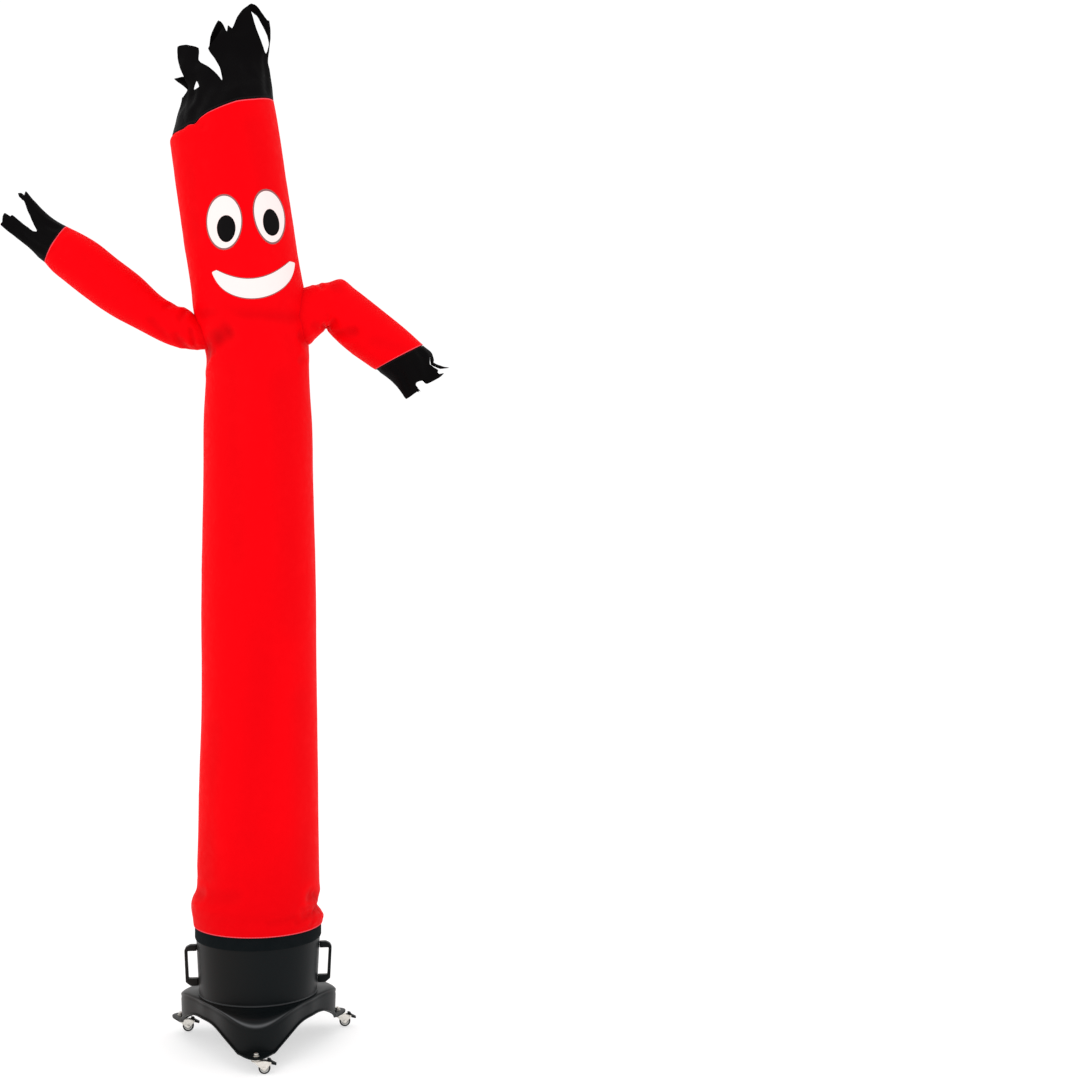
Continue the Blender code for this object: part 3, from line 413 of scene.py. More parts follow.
HERE = Vector((0.0, 0.0, 0.0))
half = WHEEL_WIDTH / 2
tyre_profile = mirrored((
    (RIM_R + SEAT, half - 0.0006), (RIM_R + 0.0012, half), (WHEEL_R - 0.0028, half - 0.0002),
    (WHEEL_R - 0.0012, half - 0.0010), (WHEEL_R - 0.0003, half - 0.0026), (WHEEL_R, half - 0.0042)))
rim_profile = mirrored((
    (AXLE_R + 0.0005, half), (0.0048, half), (0.0052, half - 0.0030), (0.0082, half - 0.0034),
    (0.0088, half - 0.0004), (RIM_R - 0.0006, half), (RIM_R, half - 0.0008)))
tyre = pulled("tyre", tyre_profile, WHEEL_SIDES, HERE, closed=True)
rim = pulled("rim", rim_profile, WHEEL_SIDES, HERE, closed=True)
for wheel_piece in (tyre, rim):
    laid_over(wheel_piece, TRAIL, WHEEL_R)
    smoothed(wheel_piece, 30.0)


def riveted(name, shank, head, x, z):
    """An axle or pin across the fork, with a domed head at both ends."""
    seat = FORK_OUT + SEAT
    dome = [(head, seat), (head * 0.96, seat + 0.0005), (head * 0.80, seat + 0.0010),
            (head * 0.45, seat + 0.0014)]
    rows = [(radius, -z) for radius, z in reversed(dome)] + [(shank, -seat), (shank, seat)] + dome
    pin = pulled(name, rows + [(TIP_R, seat + 0.0015)], 32, HERE, capped=True)
    laid_over(pin, x, z)
    smoothed(pin, 40.0)
    return pin


axle = riveted("axle", AXLE_R, AXLE_HEAD_R, TRAIL, WHEEL_R)
pin = riveted("pin", PIN_R, PIN_HEAD_R, PIN_X, PIN_Z)

washer_low = FLANGE_TOP + SEAT
head_low = washer_low + 2 * WASHER_TALL + SEAT
washer_mid, washer_high = washer_low + WASHER_TALL, washer_low + 2 * WASHER_TALL
washer = pulled("washers", (
    (KING_R + SEAT, washer_low), (WASHER_R, washer_low), (WASHER_R, washer_low + WASHER_TALL * 0.9),
    (WASHER_R - 0.0010, washer_mid), (WASHER_R - 0.0010, washer_high), (KING_R + SEAT, washer_high)),
    48, HERE, closed=True)
smoothed(washer, 30.0)

under = FORK_PLATE_BOTTOM - SEAT
head_high = head_low + BOLT_HEAD_TALL
socket_low = head_high - SOCKET_DEEP
bolt = pulled("bolt", (
    (0.0034, under - 0.0027), (0.0060, under - 0.0024), (0.0066, under - 0.0018), (0.0066, under),
    (KING_R, under), (KING_R, head_low), (BOLT_HEAD_R, head_low), (BOLT_HEAD_R, head_high - 0.0008),
    (BOLT_HEAD_R - 0.0008, head_high), (SOCKET_R + 0.0004, head_high), (SOCKET_R, head_high - 0.0003),
    (SOCKET_R, socket_low), (TIP_R, socket_low - 0.0006)), 48, HERE, capped=True)
for vertex in bolt.data.vertices:            # the socket is hexagonal
    if vertex.co.z > socket_low - 0.0001 and vertex.co.xy.length < SOCKET_R + 0.0001:
        turn = math.atan2(vertex.co.y, vertex.co.x)
        flat = math.cos(math.pi / 6) / math.cos((turn % (math.pi / 3)) - math.pi / 6)
        vertex.co.x *= flat
        vertex.co.y *= flat
smoothed(bolt, 30.0)

cap_low, cap_top = FORK_PLATE_TOP + SEAT, FLANGE_TOP - BASE_WALL - SEAT
cap = pulled("cap", (
    (KING_R + SEAT, cap_top), (CAP_TOP_R - 0.0010, cap_top), (CAP_TOP_R, cap_top - 0.0004),
    (CAP_R - 0.0006, cap_top - 0.0034), (CAP_R, cap_top - 0.0042), (CAP_R, cap_low + 0.0016),
    (CAP_R - 0.0012, cap_low + 0.0013), (CAP_R - 0.0012, cap_low + 0.0008), (CAP_R, cap_low + 0.0005),
    (CAP_R - 0.0002, cap_low), (KING_R + SEAT, cap_low)), 64, HERE, closed=True)
smoothed(cap, 30.0)


def plate(name, outline, near, far):
    """An outline of (x, z), filled and drawn back from y = near to y = far."""
    piece = begun(name, bpy.ops.mesh.primitive_circle_add, vertices=len(outline), radius=1.0,
                  fill_type="NGON")
    for vertex, (x, z) in zip(piece.data.vertices, outline):
        vertex.co = (x, near, z)
    bpy.ops.object.mode_set(mode="EDIT")
    bpy.ops.mesh.select_all(action="SELECT")
    bpy.ops.mesh.extrude_region_move(TRANSFORM_OT_translate={"value": (0.0, far - near, 0.0)})
    bpy.ops.mesh.select_all(action="SELECT")
    bpy.ops.mesh.normals_make_consistent(inside=False)
    bpy.ops.object.mode_set(mode="OBJECT")
    return piece


def combined(piece, operation, *others):
    """Joins other shapes to a piece or cuts them out of it, and takes them away."""
    for other in others:
        applied(piece, "BOOLEAN", operation=operation, object=other, solver="EXACT")
        bpy.data.objects.remove(other, do_unlink=True)


def bored(piece, x, z, radius):
    """Drills a caster's part from side to side, with room for an axle or a pin."""
    drill = pulled("drill", ((radius + SEAT, -BORE_REACH), (radius + SEAT, BORE_REACH), (TIP_R, BORE_REACH)),
                   32, HERE, capped=True)
    laid_over(drill, x, z)
    combined(piece, "DIFFERENCE", drill)


FORK_REAR, FORK_KNEE_X, FORK_KNEE_Z, FORK_DISC_R = -0.0090, -0.0040, 0.0315, 0.0130
CHEEK_R, TAIL_R, FORK_PLATE_END = 0.0056, 0.0036, 0.0260


def fork_cheek():
    """The fork's side: its plate, a cheek that narrows to the axle, and a tail ear for the pedal's pin."""
    points = [(FORK_REAR, FORK_PLATE_TOP), (FORK_REAR, FORK_PLATE_BOTTOM), (FORK_KNEE_X, FORK_KNEE_Z)]
    for x, z, radius, start, end, steps in ((TRAIL, WHEEL_R, CHEEK_R, 215.0, 355.0, 14),
                                            (PIN_X, PIN_Z, TAIL_R, -50.0, 110.0, 12)):
        for step in range(steps):
            angle = math.radians(start + (end - start) * step / (steps - 1))
            points.append((x + radius * math.cos(angle), z + radius * math.sin(angle)))
    points.append((FORK_PLATE_END, FORK_PLATE_TOP))
    return points


def between_cheeks(name, x_low, x_high, z_low, z_high):
    """A block as wide as the room inside the fork."""
    corners = ((x_low, z_low), (x_high, z_low), (x_high, z_high), (x_low, z_high))
    return plate(name, corners, -FORK_IN, FORK_IN)


fork = plate("fork", fork_cheek(), -FORK_OUT, FORK_OUT)
fork_room = between_cheeks("fork_room", -0.02, 0.06, 0.0, FORK_PLATE_BOTTOM)
fork_gate = between_cheeks("fork_gate", FORK_PLATE_END - 0.001, 0.06, 0.01, 0.06)
disc_top = FORK_PLATE_TOP - 0.0001
fork_disc = pulled("fork_disc", (
    (FORK_DISC_R, FORK_PLATE_BOTTOM), (FORK_DISC_R, disc_top), (TIP_R, disc_top)), 64, HERE, capped=True)
king_bore = pulled("king_bore", ((KING_R + SEAT, 0.02), (KING_R + SEAT, 0.05), (TIP_R, 0.05)),
                   48, HERE, capped=True)
combined(fork, "DIFFERENCE", fork_room, fork_gate)
combined(fork, "UNION", fork_disc)
combined(fork, "DIFFERENCE", king_bore)
bored(fork, TRAIL, WHEEL_R, AXLE_R)
bored(fork, PIN_X, PIN_Z, PIN_R)
softened(fork, FORK_ROUND)


def pedal_outline():
    """The pedal's side, from its pin: a thick ribbed wing up and back, and a thin toe out and down."""
    wing = list(PEDAL_TOP[:3])
    first, last = Vector(PEDAL_TOP[2]), Vector(PEDAL_TOP[3])
    ribs = 4
    for rib in range(ribs):
        for share, deep in ((0.15, 0.0), (0.35, 0.0008), (0.65, 0.0008), (0.85, 0.0)):
            along = first.lerp(last, (rib + share) / ribs)
            wing.append((along.x - 0.35 * deep, along.y - deep))
    return ([(-0.0034, -0.0010)] + wing
            + [PEDAL_TOP[3], PEDAL_TOP[4], (0.0170, -0.0030), (0.0168, -0.0052), (0.0160, -0.0066),
               (0.0030, -0.0030), (-0.0010, -0.0034)])


pedal = plate("pedal", pedal_outline(), 0.0006 - FORK_IN, FORK_IN - 0.0006)
pedal.data.transform(Matrix.Translation((PIN_X, 0.0, PIN_Z)))
bored(pedal, PIN_X, PIN_Z, PIN_R)
softened(pedal, PEDAL_ROUND, degrees=PEDAL_ROUND_DEG)

nickel = plated("nickel_plating", NICKEL, NICKEL_DULL)
caster_pieces = (
    # piece, finish, body, slot, node
    (tyre, tyre_rubber(), "wheel_", "rubber", "tyre_"),
    (rim, rim_nylon(), "wheel_", "pale_rim", "rim_"),
    (fork, nickel, "caster_", "nickel", "fork_"),
    (axle, nickel, "caster_", "nickel", "axle_"),
    (pin, nickel, "caster_", "nickel", "pin_"),
    (pedal, moulded_plastic("pedal_black", 0.03), "brake_", "black_plastic", "pedal_"),
    (bolt, nickel, "body", "nickel", "bolt_"),
    (washer, nickel, "body", "nickel", "washer_"),
    (cap, nickel, "body", "nickel", "cap_"),
)
for foot, degrees in FEET.items():
    turn = math.radians(degrees)
    stand = AXIS + Vector((CASTER_R * math.cos(turn), CASTER_R * math.sin(turn), 0.0))
    for piece, finish, body, slot, node in caster_pieces:
        copy = bpy.data.objects.new(piece.name + "_on_" + foot, piece.data.copy())
        bpy.context.scene.collection.objects.link(copy)
        copy.data.transform(Matrix.Translation(stand))
        copy.data.materials.clear()
        copy.data.materials.append(finish)
        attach(copy, body if body == "body" else body + foot)
        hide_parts(node + foot)
for piece, *_ in caster_pieces:
    bpy.data.objects.remove(piece, do_unlink=True)

# ---- Drum --------------------------------------------------------------------------------------
# The blower's housing: a black drum of the same plastic as the base, drawn in a little downwards. It is
# closed by a plain floor and stands on the base. A rounded foot bead runs where they meet, with a painted
# highlight along it.

DRUM_WALL = 0.003
DRUM_BOTTOM, DRUM_STRAIGHT, DRUM_TOP = 0.1490, 0.3000, 0.3497
DRUM_SIDES = 256
# the last of these sets how strong the painted highlight along the foot bead is
BEAD_TALL, BEAD_OUT, BEAD_HIGHLIGHT = 0.0040, 0.0014, 0.45

floor_top = DRUM_BOTTOM + DRUM_WALL
drum = pulled("drum_housing", (
    (DRUM_FOOT_R - DRUM_WALL, floor_top), (DRUM_R - DRUM_WALL, DRUM_STRAIGHT),
    (DRUM_R - DRUM_WALL, DRUM_TOP - 0.0010), (DRUM_R - 0.0022, DRUM_TOP), (DRUM_R - 0.0006, DRUM_TOP),
    (DRUM_R, DRUM_TOP - 0.0008), (DRUM_R, DRUM_STRAIGHT),
    (DRUM_FOOT_R + 0.0002, DRUM_BOTTOM + BEAD_TALL + 0.0010),
    (DRUM_FOOT_R + BEAD_OUT, DRUM_BOTTOM + BEAD_TALL), (DRUM_FOOT_R + BEAD_OUT, DRUM_BOTTOM + 0.0010),
    (DRUM_FOOT_R, DRUM_BOTTOM), (TIP_R, DRUM_BOTTOM)), DRUM_SIDES, capped=True)
drum_highlights = drum.data.attributes.new(HIGHLIGHT_ATTRIBUTE, "FLOAT", "POINT")
# painted highlight: a lighter line on the foot bead's outer face
for number, vertex in enumerate(drum.data.vertices):
    stands_out = (vertex.co.xy - AXIS.xy).length > DRUM_FOOT_R + BEAD_OUT / 2
    drum_highlights.data[number].value = BEAD_HIGHLIGHT * (stands_out and vertex.co.z < DRUM_BOTTOM + 2 * BEAD_TALL)
smoothed(drum, 28.0)
drum.data.materials.append(satin_black)
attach(drum, "body")
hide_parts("drum")

# ---- Handles -----------------------------------------------------------------------------------
# A thick moulded bar at each side of the drum, bent out and back in. Its edges are chamfered and its
# ends are screwed flat to the housing from inside.

HANDLE_OUTLINE = (
    (0.1725, 0.2830), (0.1900, 0.2830), (0.2015, 0.2775), (0.2063, 0.2690), (0.2022, 0.1800),
    (0.1885, 0.1690), (0.1668, 0.1690), (0.1678, 0.1890), (0.1938, 0.1890), (0.1978, 0.2666),
    (0.1717, 0.2666),
)
HANDLE_DEPTH, HANDLE_CHAMFER = 0.021, 0.0024
handle_black = moulded_plastic("handle_black", 0.08)
for side, hand in ((-1.0, "left"), (1.0, "right")):
    handle = plate("handle_bar_" + hand, [(AXIS_X + x * side, z) for x, z in HANDLE_OUTLINE],
                   AXIS_Y - HANDLE_DEPTH / 2, AXIS_Y + HANDLE_DEPTH / 2)
    softened(handle, HANDLE_CHAMFER, 3, 30.0)
    handle.data.materials.append(handle_black)
    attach(handle, "body")
    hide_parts("handle_" + hand)

# ---- Band --------------------------------------------------------------------------------------
# A wide hook-and-loop band glued round the top of the drum, which grips the hem of the cloth. Its
# black pile is woven in fine upright ribs, and a plain selvedge runs along both edges.

BAND_R, BAND_BOTTOM, BAND_SELVEDGE = 0.1769, 0.305, 0.0022
BAND_RIBS, BAND_RIB_DEEP = 288, 0.0007
BAND_BLACK = (0.0022, 0.0040, 0.0048, 1.0)
BAND_LINT = (0.010, 0.012, 0.013, 1.0)


def pile():
    """Hook-and-loop pile: matt, fuzzy, with pale lint."""
    finish = Finish("band_pile", Specular_IOR_Level=0.04, Sheen_Weight=0.02, Sheen_Roughness=0.5)
    lint = finish.cloud(1300.0, 3.0)
    worn = finish.cloud(30.0, 3.0)
    finish.feed("Base Color", finish.blended(lint * worn, BAND_BLACK, BAND_LINT))
    finish.feed("Roughness", 0.85 + lint * 0.1)
    finish.relief(lint * 0.25)
    return finish.material


inner = DRUM_R + 0.0003
low, high = BAND_BOTTOM + BAND_SELVEDGE, DRUM_TOP - BAND_SELVEDGE
band = pulled("ribbed_band", (
    (BAND_R - 0.0022, BAND_BOTTOM), (BAND_R - 0.0010, BAND_BOTTOM + 0.0004),
    (BAND_R - 0.0008, low - 0.0006),
    (BAND_R - 0.0002, low), (BAND_R, low + 0.0010), (BAND_R, (low + high) / 2), (BAND_R, high - 0.0010),
    (BAND_R - 0.0002, high), (BAND_R - 0.0008, high + 0.0006), (BAND_R - 0.0010, DRUM_TOP - 0.0004),
    (BAND_R - 0.0022, DRUM_TOP), (inner, DRUM_TOP), (inner, BAND_BOTTOM)), BAND_RIBS * 2, closed=True)
for vertex in band.data.vertices:
    out = vertex.co.xy - AXIS.xy
    rib = round(math.atan2(out.y, out.x) / math.tau * BAND_RIBS * 2)
    if rib % 2 and out.length > BAND_R - 0.0005:
        vertex.co.xy = AXIS.xy + out * (1.0 - BAND_RIB_DEEP / out.length)
smoothed(band, 50.0)
band.data.materials.append(pile())
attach(band, "body")
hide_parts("band")

# ---- Outlet ------------------------------------------------------------------------------------
# Inside the hem: a black collar, a brushed steel ring screwed down on it, and a welded wire guard of
# thin rings on curved spokes round a flat disc, which keeps hands and cloth out of the fan.

COLLAR_R, COLLAR_LEDGE_R, COLLAR_BORE_R = 0.1735, 0.1600, 0.1540
COLLAR_BOTTOM, COLLAR_LEDGE, COLLAR_TOP = 0.3500, 0.3530, 0.3570
RING_R, RING_BOTTOM, RING_TOP = 0.1715, 0.3573, 0.3610
RING_SCREWS, RING_SCREW_R = 8, 0.0034
GUARD_Z, GUARD_WIRE = 0.3548, 0.0014
GUARD_FIRST_R, GUARD_LAST_R, GUARD_WIRES = 0.022, 0.1575, 13
GUARD_SPOKES, SPOKE_SWING, SPOKE_STEPS = 8, 0.45, 28
DISC_R, DISC_BORE_R, DISC_THICK = 0.024, 0.0045, 0.0015
STEEL = (0.60, 0.58, 0.55, 1.0)
STEEL_DULL = (0.42, 0.41, 0.39, 1.0)
CHROME = (0.74, 0.74, 0.73, 1.0)

collar = pulled("collar_ledge", (
    (COLLAR_LEDGE_R, COLLAR_TOP), (COLLAR_R - 0.0008, COLLAR_TOP), (COLLAR_R, COLLAR_TOP - 0.0008),
    (COLLAR_R, COLLAR_BOTTOM + 0.0006), (COLLAR_R - 0.0006, COLLAR_BOTTOM),
    (COLLAR_BORE_R, COLLAR_BOTTOM), (COLLAR_BORE_R, COLLAR_LEDGE), (COLLAR_LEDGE_R, COLLAR_LEDGE)),
    DRUM_SIDES, closed=True)
smoothed(collar, 28.0)
collar.data.materials.append(satin_black)
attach(collar, "body")
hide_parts("collar_rim")

brushed = plated("brushed_steel", STEEL, STEEL_DULL, 500.0)
ring = pulled("steel_ring", (
    (COLLAR_BORE_R, RING_TOP), (RING_R - 0.0010, RING_TOP), (RING_R, RING_TOP - 0.0010),
    (RING_R, RING_BOTTOM), (COLLAR_BORE_R, RING_BOTTOM)), DRUM_SIDES, closed=True)
for screw in range(RING_SCREWS):
    turn = math.tau * (screw + 0.5) / RING_SCREWS
    middle = (COLLAR_BORE_R + RING_R) / 2
    stand = AXIS + Vector((middle * math.cos(turn), middle * math.sin(turn), 0.0))
    seat = pulled("screw_seat", (
        (RING_SCREW_R + 0.0012, RING_TOP + 0.001), (RING_SCREW_R + 0.0012, RING_TOP),
        (RING_SCREW_R, RING_TOP - 0.0012), (TIP_R, RING_TOP - 0.0012)), 24, stand, capped=True)
    combined(ring, "DIFFERENCE", seat)
smoothed(ring, 28.0)
ring.data.materials.append(brushed)
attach(ring, "body")
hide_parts("flange_ring")


def wire_ring(radius):
    """One ring of round wire."""
    wire = begun("wire", bpy.ops.mesh.primitive_circle_add, vertices=8, radius=GUARD_WIRE,
                 rotation=(math.pi / 2, 0.0, 0.0), location=(AXIS_X + radius, AXIS_Y, GUARD_Z))
    bpy.ops.object.transform_apply(location=True, rotation=True, scale=True)
    bpy.ops.object.mode_set(mode="EDIT")
    bpy.ops.mesh.select_all(action="SELECT")
    bpy.ops.mesh.spin(steps=96, angle=math.tau, center=(AXIS_X, AXIS_Y, 0.0), axis=(0.0, 0.0, 1.0))
    welded()
    bpy.ops.object.mode_set(mode="OBJECT")
    return wire


def wire_spoke(start):
    """One spoke, swung one way and back between the disc and the last ring."""
    curve = bpy.data.curves.new("spoke", "CURVE")
    curve.dimensions = "3D"
    curve.bevel_depth = GUARD_WIRE * 0.9
    curve.bevel_resolution = 1
    curve.use_fill_caps = True
    spline = curve.splines.new("POLY")
    spline.points.add(SPOKE_STEPS)
    for step, point in enumerate(spline.points):
        share = step / SPOKE_STEPS
        radius = DISC_R - 0.004 + (GUARD_LAST_R - DISC_R + 0.004) * share
        turn = start + SPOKE_SWING * math.sin(math.tau * share)
        point.co = (AXIS_X + radius * math.cos(turn), AXIS_Y + radius * math.sin(turn),
                    GUARD_Z - GUARD_WIRE, 1.0)
    spoke = bpy.data.objects.new("spoke", curve)
    bpy.context.scene.collection.objects.link(spoke)
    chosen(spoke)
    bpy.ops.object.convert(target="MESH")
    return bpy.context.object


wires = [wire_ring(GUARD_FIRST_R + (GUARD_LAST_R - GUARD_FIRST_R) * step / (GUARD_WIRES - 1))
         for step in range(GUARD_WIRES)]
wires += [wire_spoke(math.tau * (step + 0.5) / GUARD_SPOKES) for step in range(GUARD_SPOKES)]
guard = wires[0]
chosen(guard)
for wire in wires[1:]:
    wire.select_set(True)
bpy.ops.object.join()
guard.name = guard.data.name = "wire_guard"
smoothed(guard, 60.0)
guard.data.materials.append(plated("guard_chrome", CHROME, STEEL, 900.0))
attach(guard, "body")
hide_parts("guard")

disc_low = GUARD_Z + GUARD_WIRE + 0.0004
disc_high = disc_low + DISC_THICK
disc = pulled("pressed_disc", (
    (DISC_BORE_R, disc_low), (DISC_R - 0.0004, disc_low), (DISC_R, disc_low + 0.0004),
    (DISC_R, disc_high - 0.0004), (DISC_R - 0.0006, disc_high), (DISC_R * 0.62, disc_high),
    (DISC_R * 0.55, disc_high + 0.0008), (DISC_BORE_R + 0.0006, disc_high + 0.0008),
    (DISC_BORE_R, disc_high)), 96, closed=True)
smoothed(disc, 30.0)
disc.data.materials.append(brushed)
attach(disc, "body")
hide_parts("guard_disc")

# ---- Body tube ---------------------------------------------------------------------------------
# One length of thin red rip-stop nylon, rolled into a tube, felled down its back and gripped by the
# band at its hem. Air holds it round; it creases at the armpits and where the hem is pulled in.

BODY_RINGS = (
    # left_x, left_z, right_x, right_z, y, depth over width
    (-0.1805, 0.3420, 0.1805, 0.3420, 0.0, 1.00),
    (-0.1825, 0.3600, 0.1808, 0.3600, 0.0, 1.00),
    (-0.1855, 0.3810, 0.1690, 0.3800, 0.0, 1.00),
    (-0.1875, 0.4030, 0.1710, 0.4010, 0.0, 1.00),
    (-0.1820, 0.4230, 0.1720, 0.4230, 0.0, 1.00),
    (-0.1740, 0.4430, 0.1720, 0.4430, 0.0, 1.00),
    (-0.1706, 0.5160, 0.1706, 0.5160, 0.0, 1.00),
    (-0.1650, 0.7420, 0.1680, 0.7420, 0.0, 1.00),
    (-0.1585, 0.9670, 0.1650, 0.9670, 0.0, 1.00),
    (-0.1590, 1.2490, 0.1620, 1.2490, 0.0, 1.00),
    (-0.1565, 1.4180, 0.1590, 1.4180, 0.0, 1.00),
    (-0.1537, 1.5880, 0.1537, 1.5880, 0.0, 1.00),
    (-0.1523, 1.7570, 0.1510, 1.7570, 0.0, 1.00),
    (-0.1480, 1.8500, 0.1450, 1.8500, 0.0, 0.98),
    (-0.1455, 1.9150, 0.1425, 1.9180, 0.0, 0.96),
    (-0.1500, 1.9550, 0.1410, 1.9640, 0.0, 0.95),
    (-0.1580, 1.9850, 0.1400, 2.0020, 0.0, 0.94),
    (-0.1680, 2.0150, 0.1375, 2.0420, 0.0, 0.94),
    (-0.1760, 2.0420, 0.1350, 2.0790, 0.0, 0.95),
    (-0.1819, 2.0700, 0.1315, 2.1120, 0.0, 0.97),
    (-0.1875, 2.1230, 0.1215, 2.1650, 0.0, 0.98),
    (-0.1955, 2.1800, 0.1110, 2.2225, 0.0, 0.98),
    (-0.2045, 2.2360, 0.1030, 2.2785, 0.0, 0.98),
    (-0.2125, 2.2925, 0.0945, 2.3350, 0.0, 0.98),
    (-0.2210, 2.3490, 0.0860, 2.3915, 0.0, 0.98),
    (-0.2290, 2.4050, 0.0770, 2.4475, 0.0, 0.98),
    (-0.2360, 2.4620, 0.0690, 2.5040, 0.0, 0.98),
    (-0.2435, 2.5180, 0.0605, 2.5630, 0.0, 0.98),
    (-0.2460, 2.5460, 0.0525, 2.6130, 0.0, 0.98),
    (-0.2395, 2.5690, 0.0430, 2.6650, 0.0, 0.98),
)
BODY_FOLDS = (
    # from_deg, from_z, to_deg, to_z, half_width, depth   (degrees from the front, + to the viewer's right)
    (-84.0, 1.940, -30.0, 1.996, 0.024, 0.0105),         # the left armpit, up to the neck
    (-84.0, 1.958, -70.0, 2.012, 0.010, 0.0030),
    (-78.0, 1.922, -54.0, 1.944, 0.010, 0.0020),
    (-60.0, 2.046, 56.0, 2.040, 0.018, 0.0042),          # across the neck
    (-24.0, 2.072, 40.0, 2.076, 0.012, 0.0014),
    (60.0, 1.992, 84.0, 1.962, 0.018, 0.0045),           # the right armpit
    (80.0, 1.942, 56.0, 1.922, 0.010, 0.0022),
    (58.0, 0.432, 96.0, 0.388, 0.018, 0.0060),           # the pinch over the hem
    (50.0, 0.392, 84.0, 0.382, 0.012, 0.0040),
    (76.0, 0.388, 38.0, 0.370, 0.006, 0.0028),
    (74.0, 0.394, 46.0, 0.408, 0.006, 0.0024),
    (70.0, 0.384, 52.0, 0.352, 0.005, 0.0022),
    (82.0, 0.396, 66.0, 0.436, 0.006, 0.0022),
    (84.0, 0.384, 78.0, 0.350, 0.005, 0.0020),
    (40.0, 0.384, 12.0, 0.378, 0.008, 0.0014),
    (-100.0, 0.430, -62.0, 0.444, 0.016, 0.0040),        # the bulge at the other side of the hem
    (-96.0, 0.408, -70.0, 0.398, 0.010, 0.0020),
    (-64.0, 0.440, -20.0, 0.452, 0.016, 0.0016),
    (150.0, 1.960, 205.0, 2.010, 0.024, 0.0070),         # the back of the neck
    (110.0, 1.950, 140.0, 2.030, 0.018, 0.0060),
    (-140.0, 1.940, -110.0, 2.020, 0.018, 0.0060),
    (120.0, 0.400, 165.0, 0.384, 0.012, 0.0040),
    (-170.0, 0.392, -130.0, 0.410, 0.012, 0.0035),
    (-28.0, 1.900, -20.0, 1.380, 0.034, 0.0016),         # long soft lines down the torso
    (24.0, 1.860, 34.0, 1.200, 0.040, 0.0014),
    (6.0, 1.300, -8.0, 0.620, 0.044, 0.0014),
    (46.0, 0.980, 52.0, 0.520, 0.034, 0.0014),
    (-46.0, 0.900, -56.0, 0.500, 0.034, 0.0015),
    (30.0, 2.560, 44.0, 2.300, 0.030, 0.0014),
    (-40.0, 2.540, -48.0, 2.260, 0.030, 0.0016),
    (-33.0, 2.612, -22.0, 2.560, 0.010, 0.0036),         # below the tuck in the crown's seam
)
BODY_ACROSS, BODY_ALONG = 168, 520
BODY_FLAT = (1.135, 2.340)               # the widest girth, and hem to crown seam
SEAM_TUCK_DEG, SEAM_TUCK_WIDE, SEAM_TUCK_DEEP = -31.0, 4.0, 0.005
SEAM_REACH = 0.120
SEAM_DROPS = (
    # degrees from the front, how far the crown's seam hangs below its ring
    (-180.0, 0.0), (-110.0, 0.008), (-84.0, 0.016), (-66.0, 0.020), (-47.0, 0.026), (-36.0, 0.025),
    (-26.0, 0.019), (-15.0, 0.0105), (0.0, 0.006), (17.0, 0.0025), (39.0, 0.0065), (76.0, 0.0065),
    (110.0, 0.003), (180.0, 0.0),
)
CRUMPLE = 0.0009
NYLON_RED = (0.85, 0.0, 0.0030, 1.0)
# the darker red is painted shade, for folds, seams and the hem
NYLON_RED_SHADED = (0.50, 0.0, 0.0020, 1.0)
THREAD_PINK = (0.80, 0.13, 0.17, 1.0)
THREAD_DEEP = (0.70, 0.0, 0.0050, 1.0)
CREASE_SHADE = "crease"                        # how much painted shade each place gets, from 0 to 1: its depth in a fold, and near seams and the hem
CREASE_FULL = 0.0120
HEM_SHADE, HEM_SHADE_REACH = 0.30, 0.32  # painted shade: the cloth is painted darker just over the hem
FOLD_REACH = 3.4                         # in half widths, where a fold is no longer felt
FOLD_LIP, FOLD_LIP_AT, FOLD_LIP_WIDE = 0.30, 1.9, 0.7
WEAVE_PITCH, RIP_PITCH, STITCH_PITCH = 0.0012, 0.012, 0.0042


def on_ring(ring, degrees, outwards=0.0):
    """A place on a ring's wall; 0 degrees is its front, and they run towards its second edge."""
    first_x, first_z, second_x, second_z, y, depth = ring
    centre = Vector(((first_x + second_x) / 2, y, (first_z + second_z) / 2))
    across = Vector(((second_x - first_x) / 2, 0.0, (second_z - first_z) / 2))
    turn = math.radians(90.0 - degrees)
    out = across * math.cos(turn) + Vector((0.0, -across.length * depth, 0.0)) * math.sin(turn)
    return AXIS + centre + out * (1.0 + outwards / out.length)


def folded(degrees, height, girth_r, folds):
    """How far folds press a place inwards: each an uneven valley with a low lip beside it."""
    pressed = 0.0
    for number, (from_deg, from_z, to_deg, to_z, half_width, depth) in enumerate(folds):
        if not min(from_z, to_z) - 4 * half_width < height < max(from_z, to_z) + 4 * half_width:
            continue
        run_x, run_z = math.radians(to_deg - from_deg) * girth_r, to_z - from_z
        x = math.radians((degrees - from_deg + 180.0) % 360.0 - 180.0) * girth_r
        z = height - from_z
        along = min(max((x * run_x + z * run_z) / (run_x * run_x + run_z * run_z), 0.0), 1.0)
        away = math.hypot(x - along * run_x, z - along * run_z) / half_width
        if away > FOLD_REACH:
            continue
        uneven = 0.8 + 0.5 * noise.noise(Vector((along * 3.0, number * 7.3, 0.0)))
        lip = FOLD_LIP * math.exp(-((away - FOLD_LIP_AT) / FOLD_LIP_WIDE) ** 2)
        pressed += depth * uneven * (math.exp(-away * away) - lip)
    return pressed


def crumpled(place, size):
    """Uneven cloth: broad softness, and small sharp ridges where the air has creased it."""
    broad = noise.noise(place * 7.0)
    sharp = 1.0 - abs(noise.noise(place * 19.0 + Vector((4.0, 1.0, 7.0)))) * 2.0
    patch = max(noise.noise(place * 4.0 + Vector((9.0, 2.0, 3.0))) + 0.15, 0.0)
    return size * (broad + 0.9 * patch * max(sharp, 0.0) ** 3)


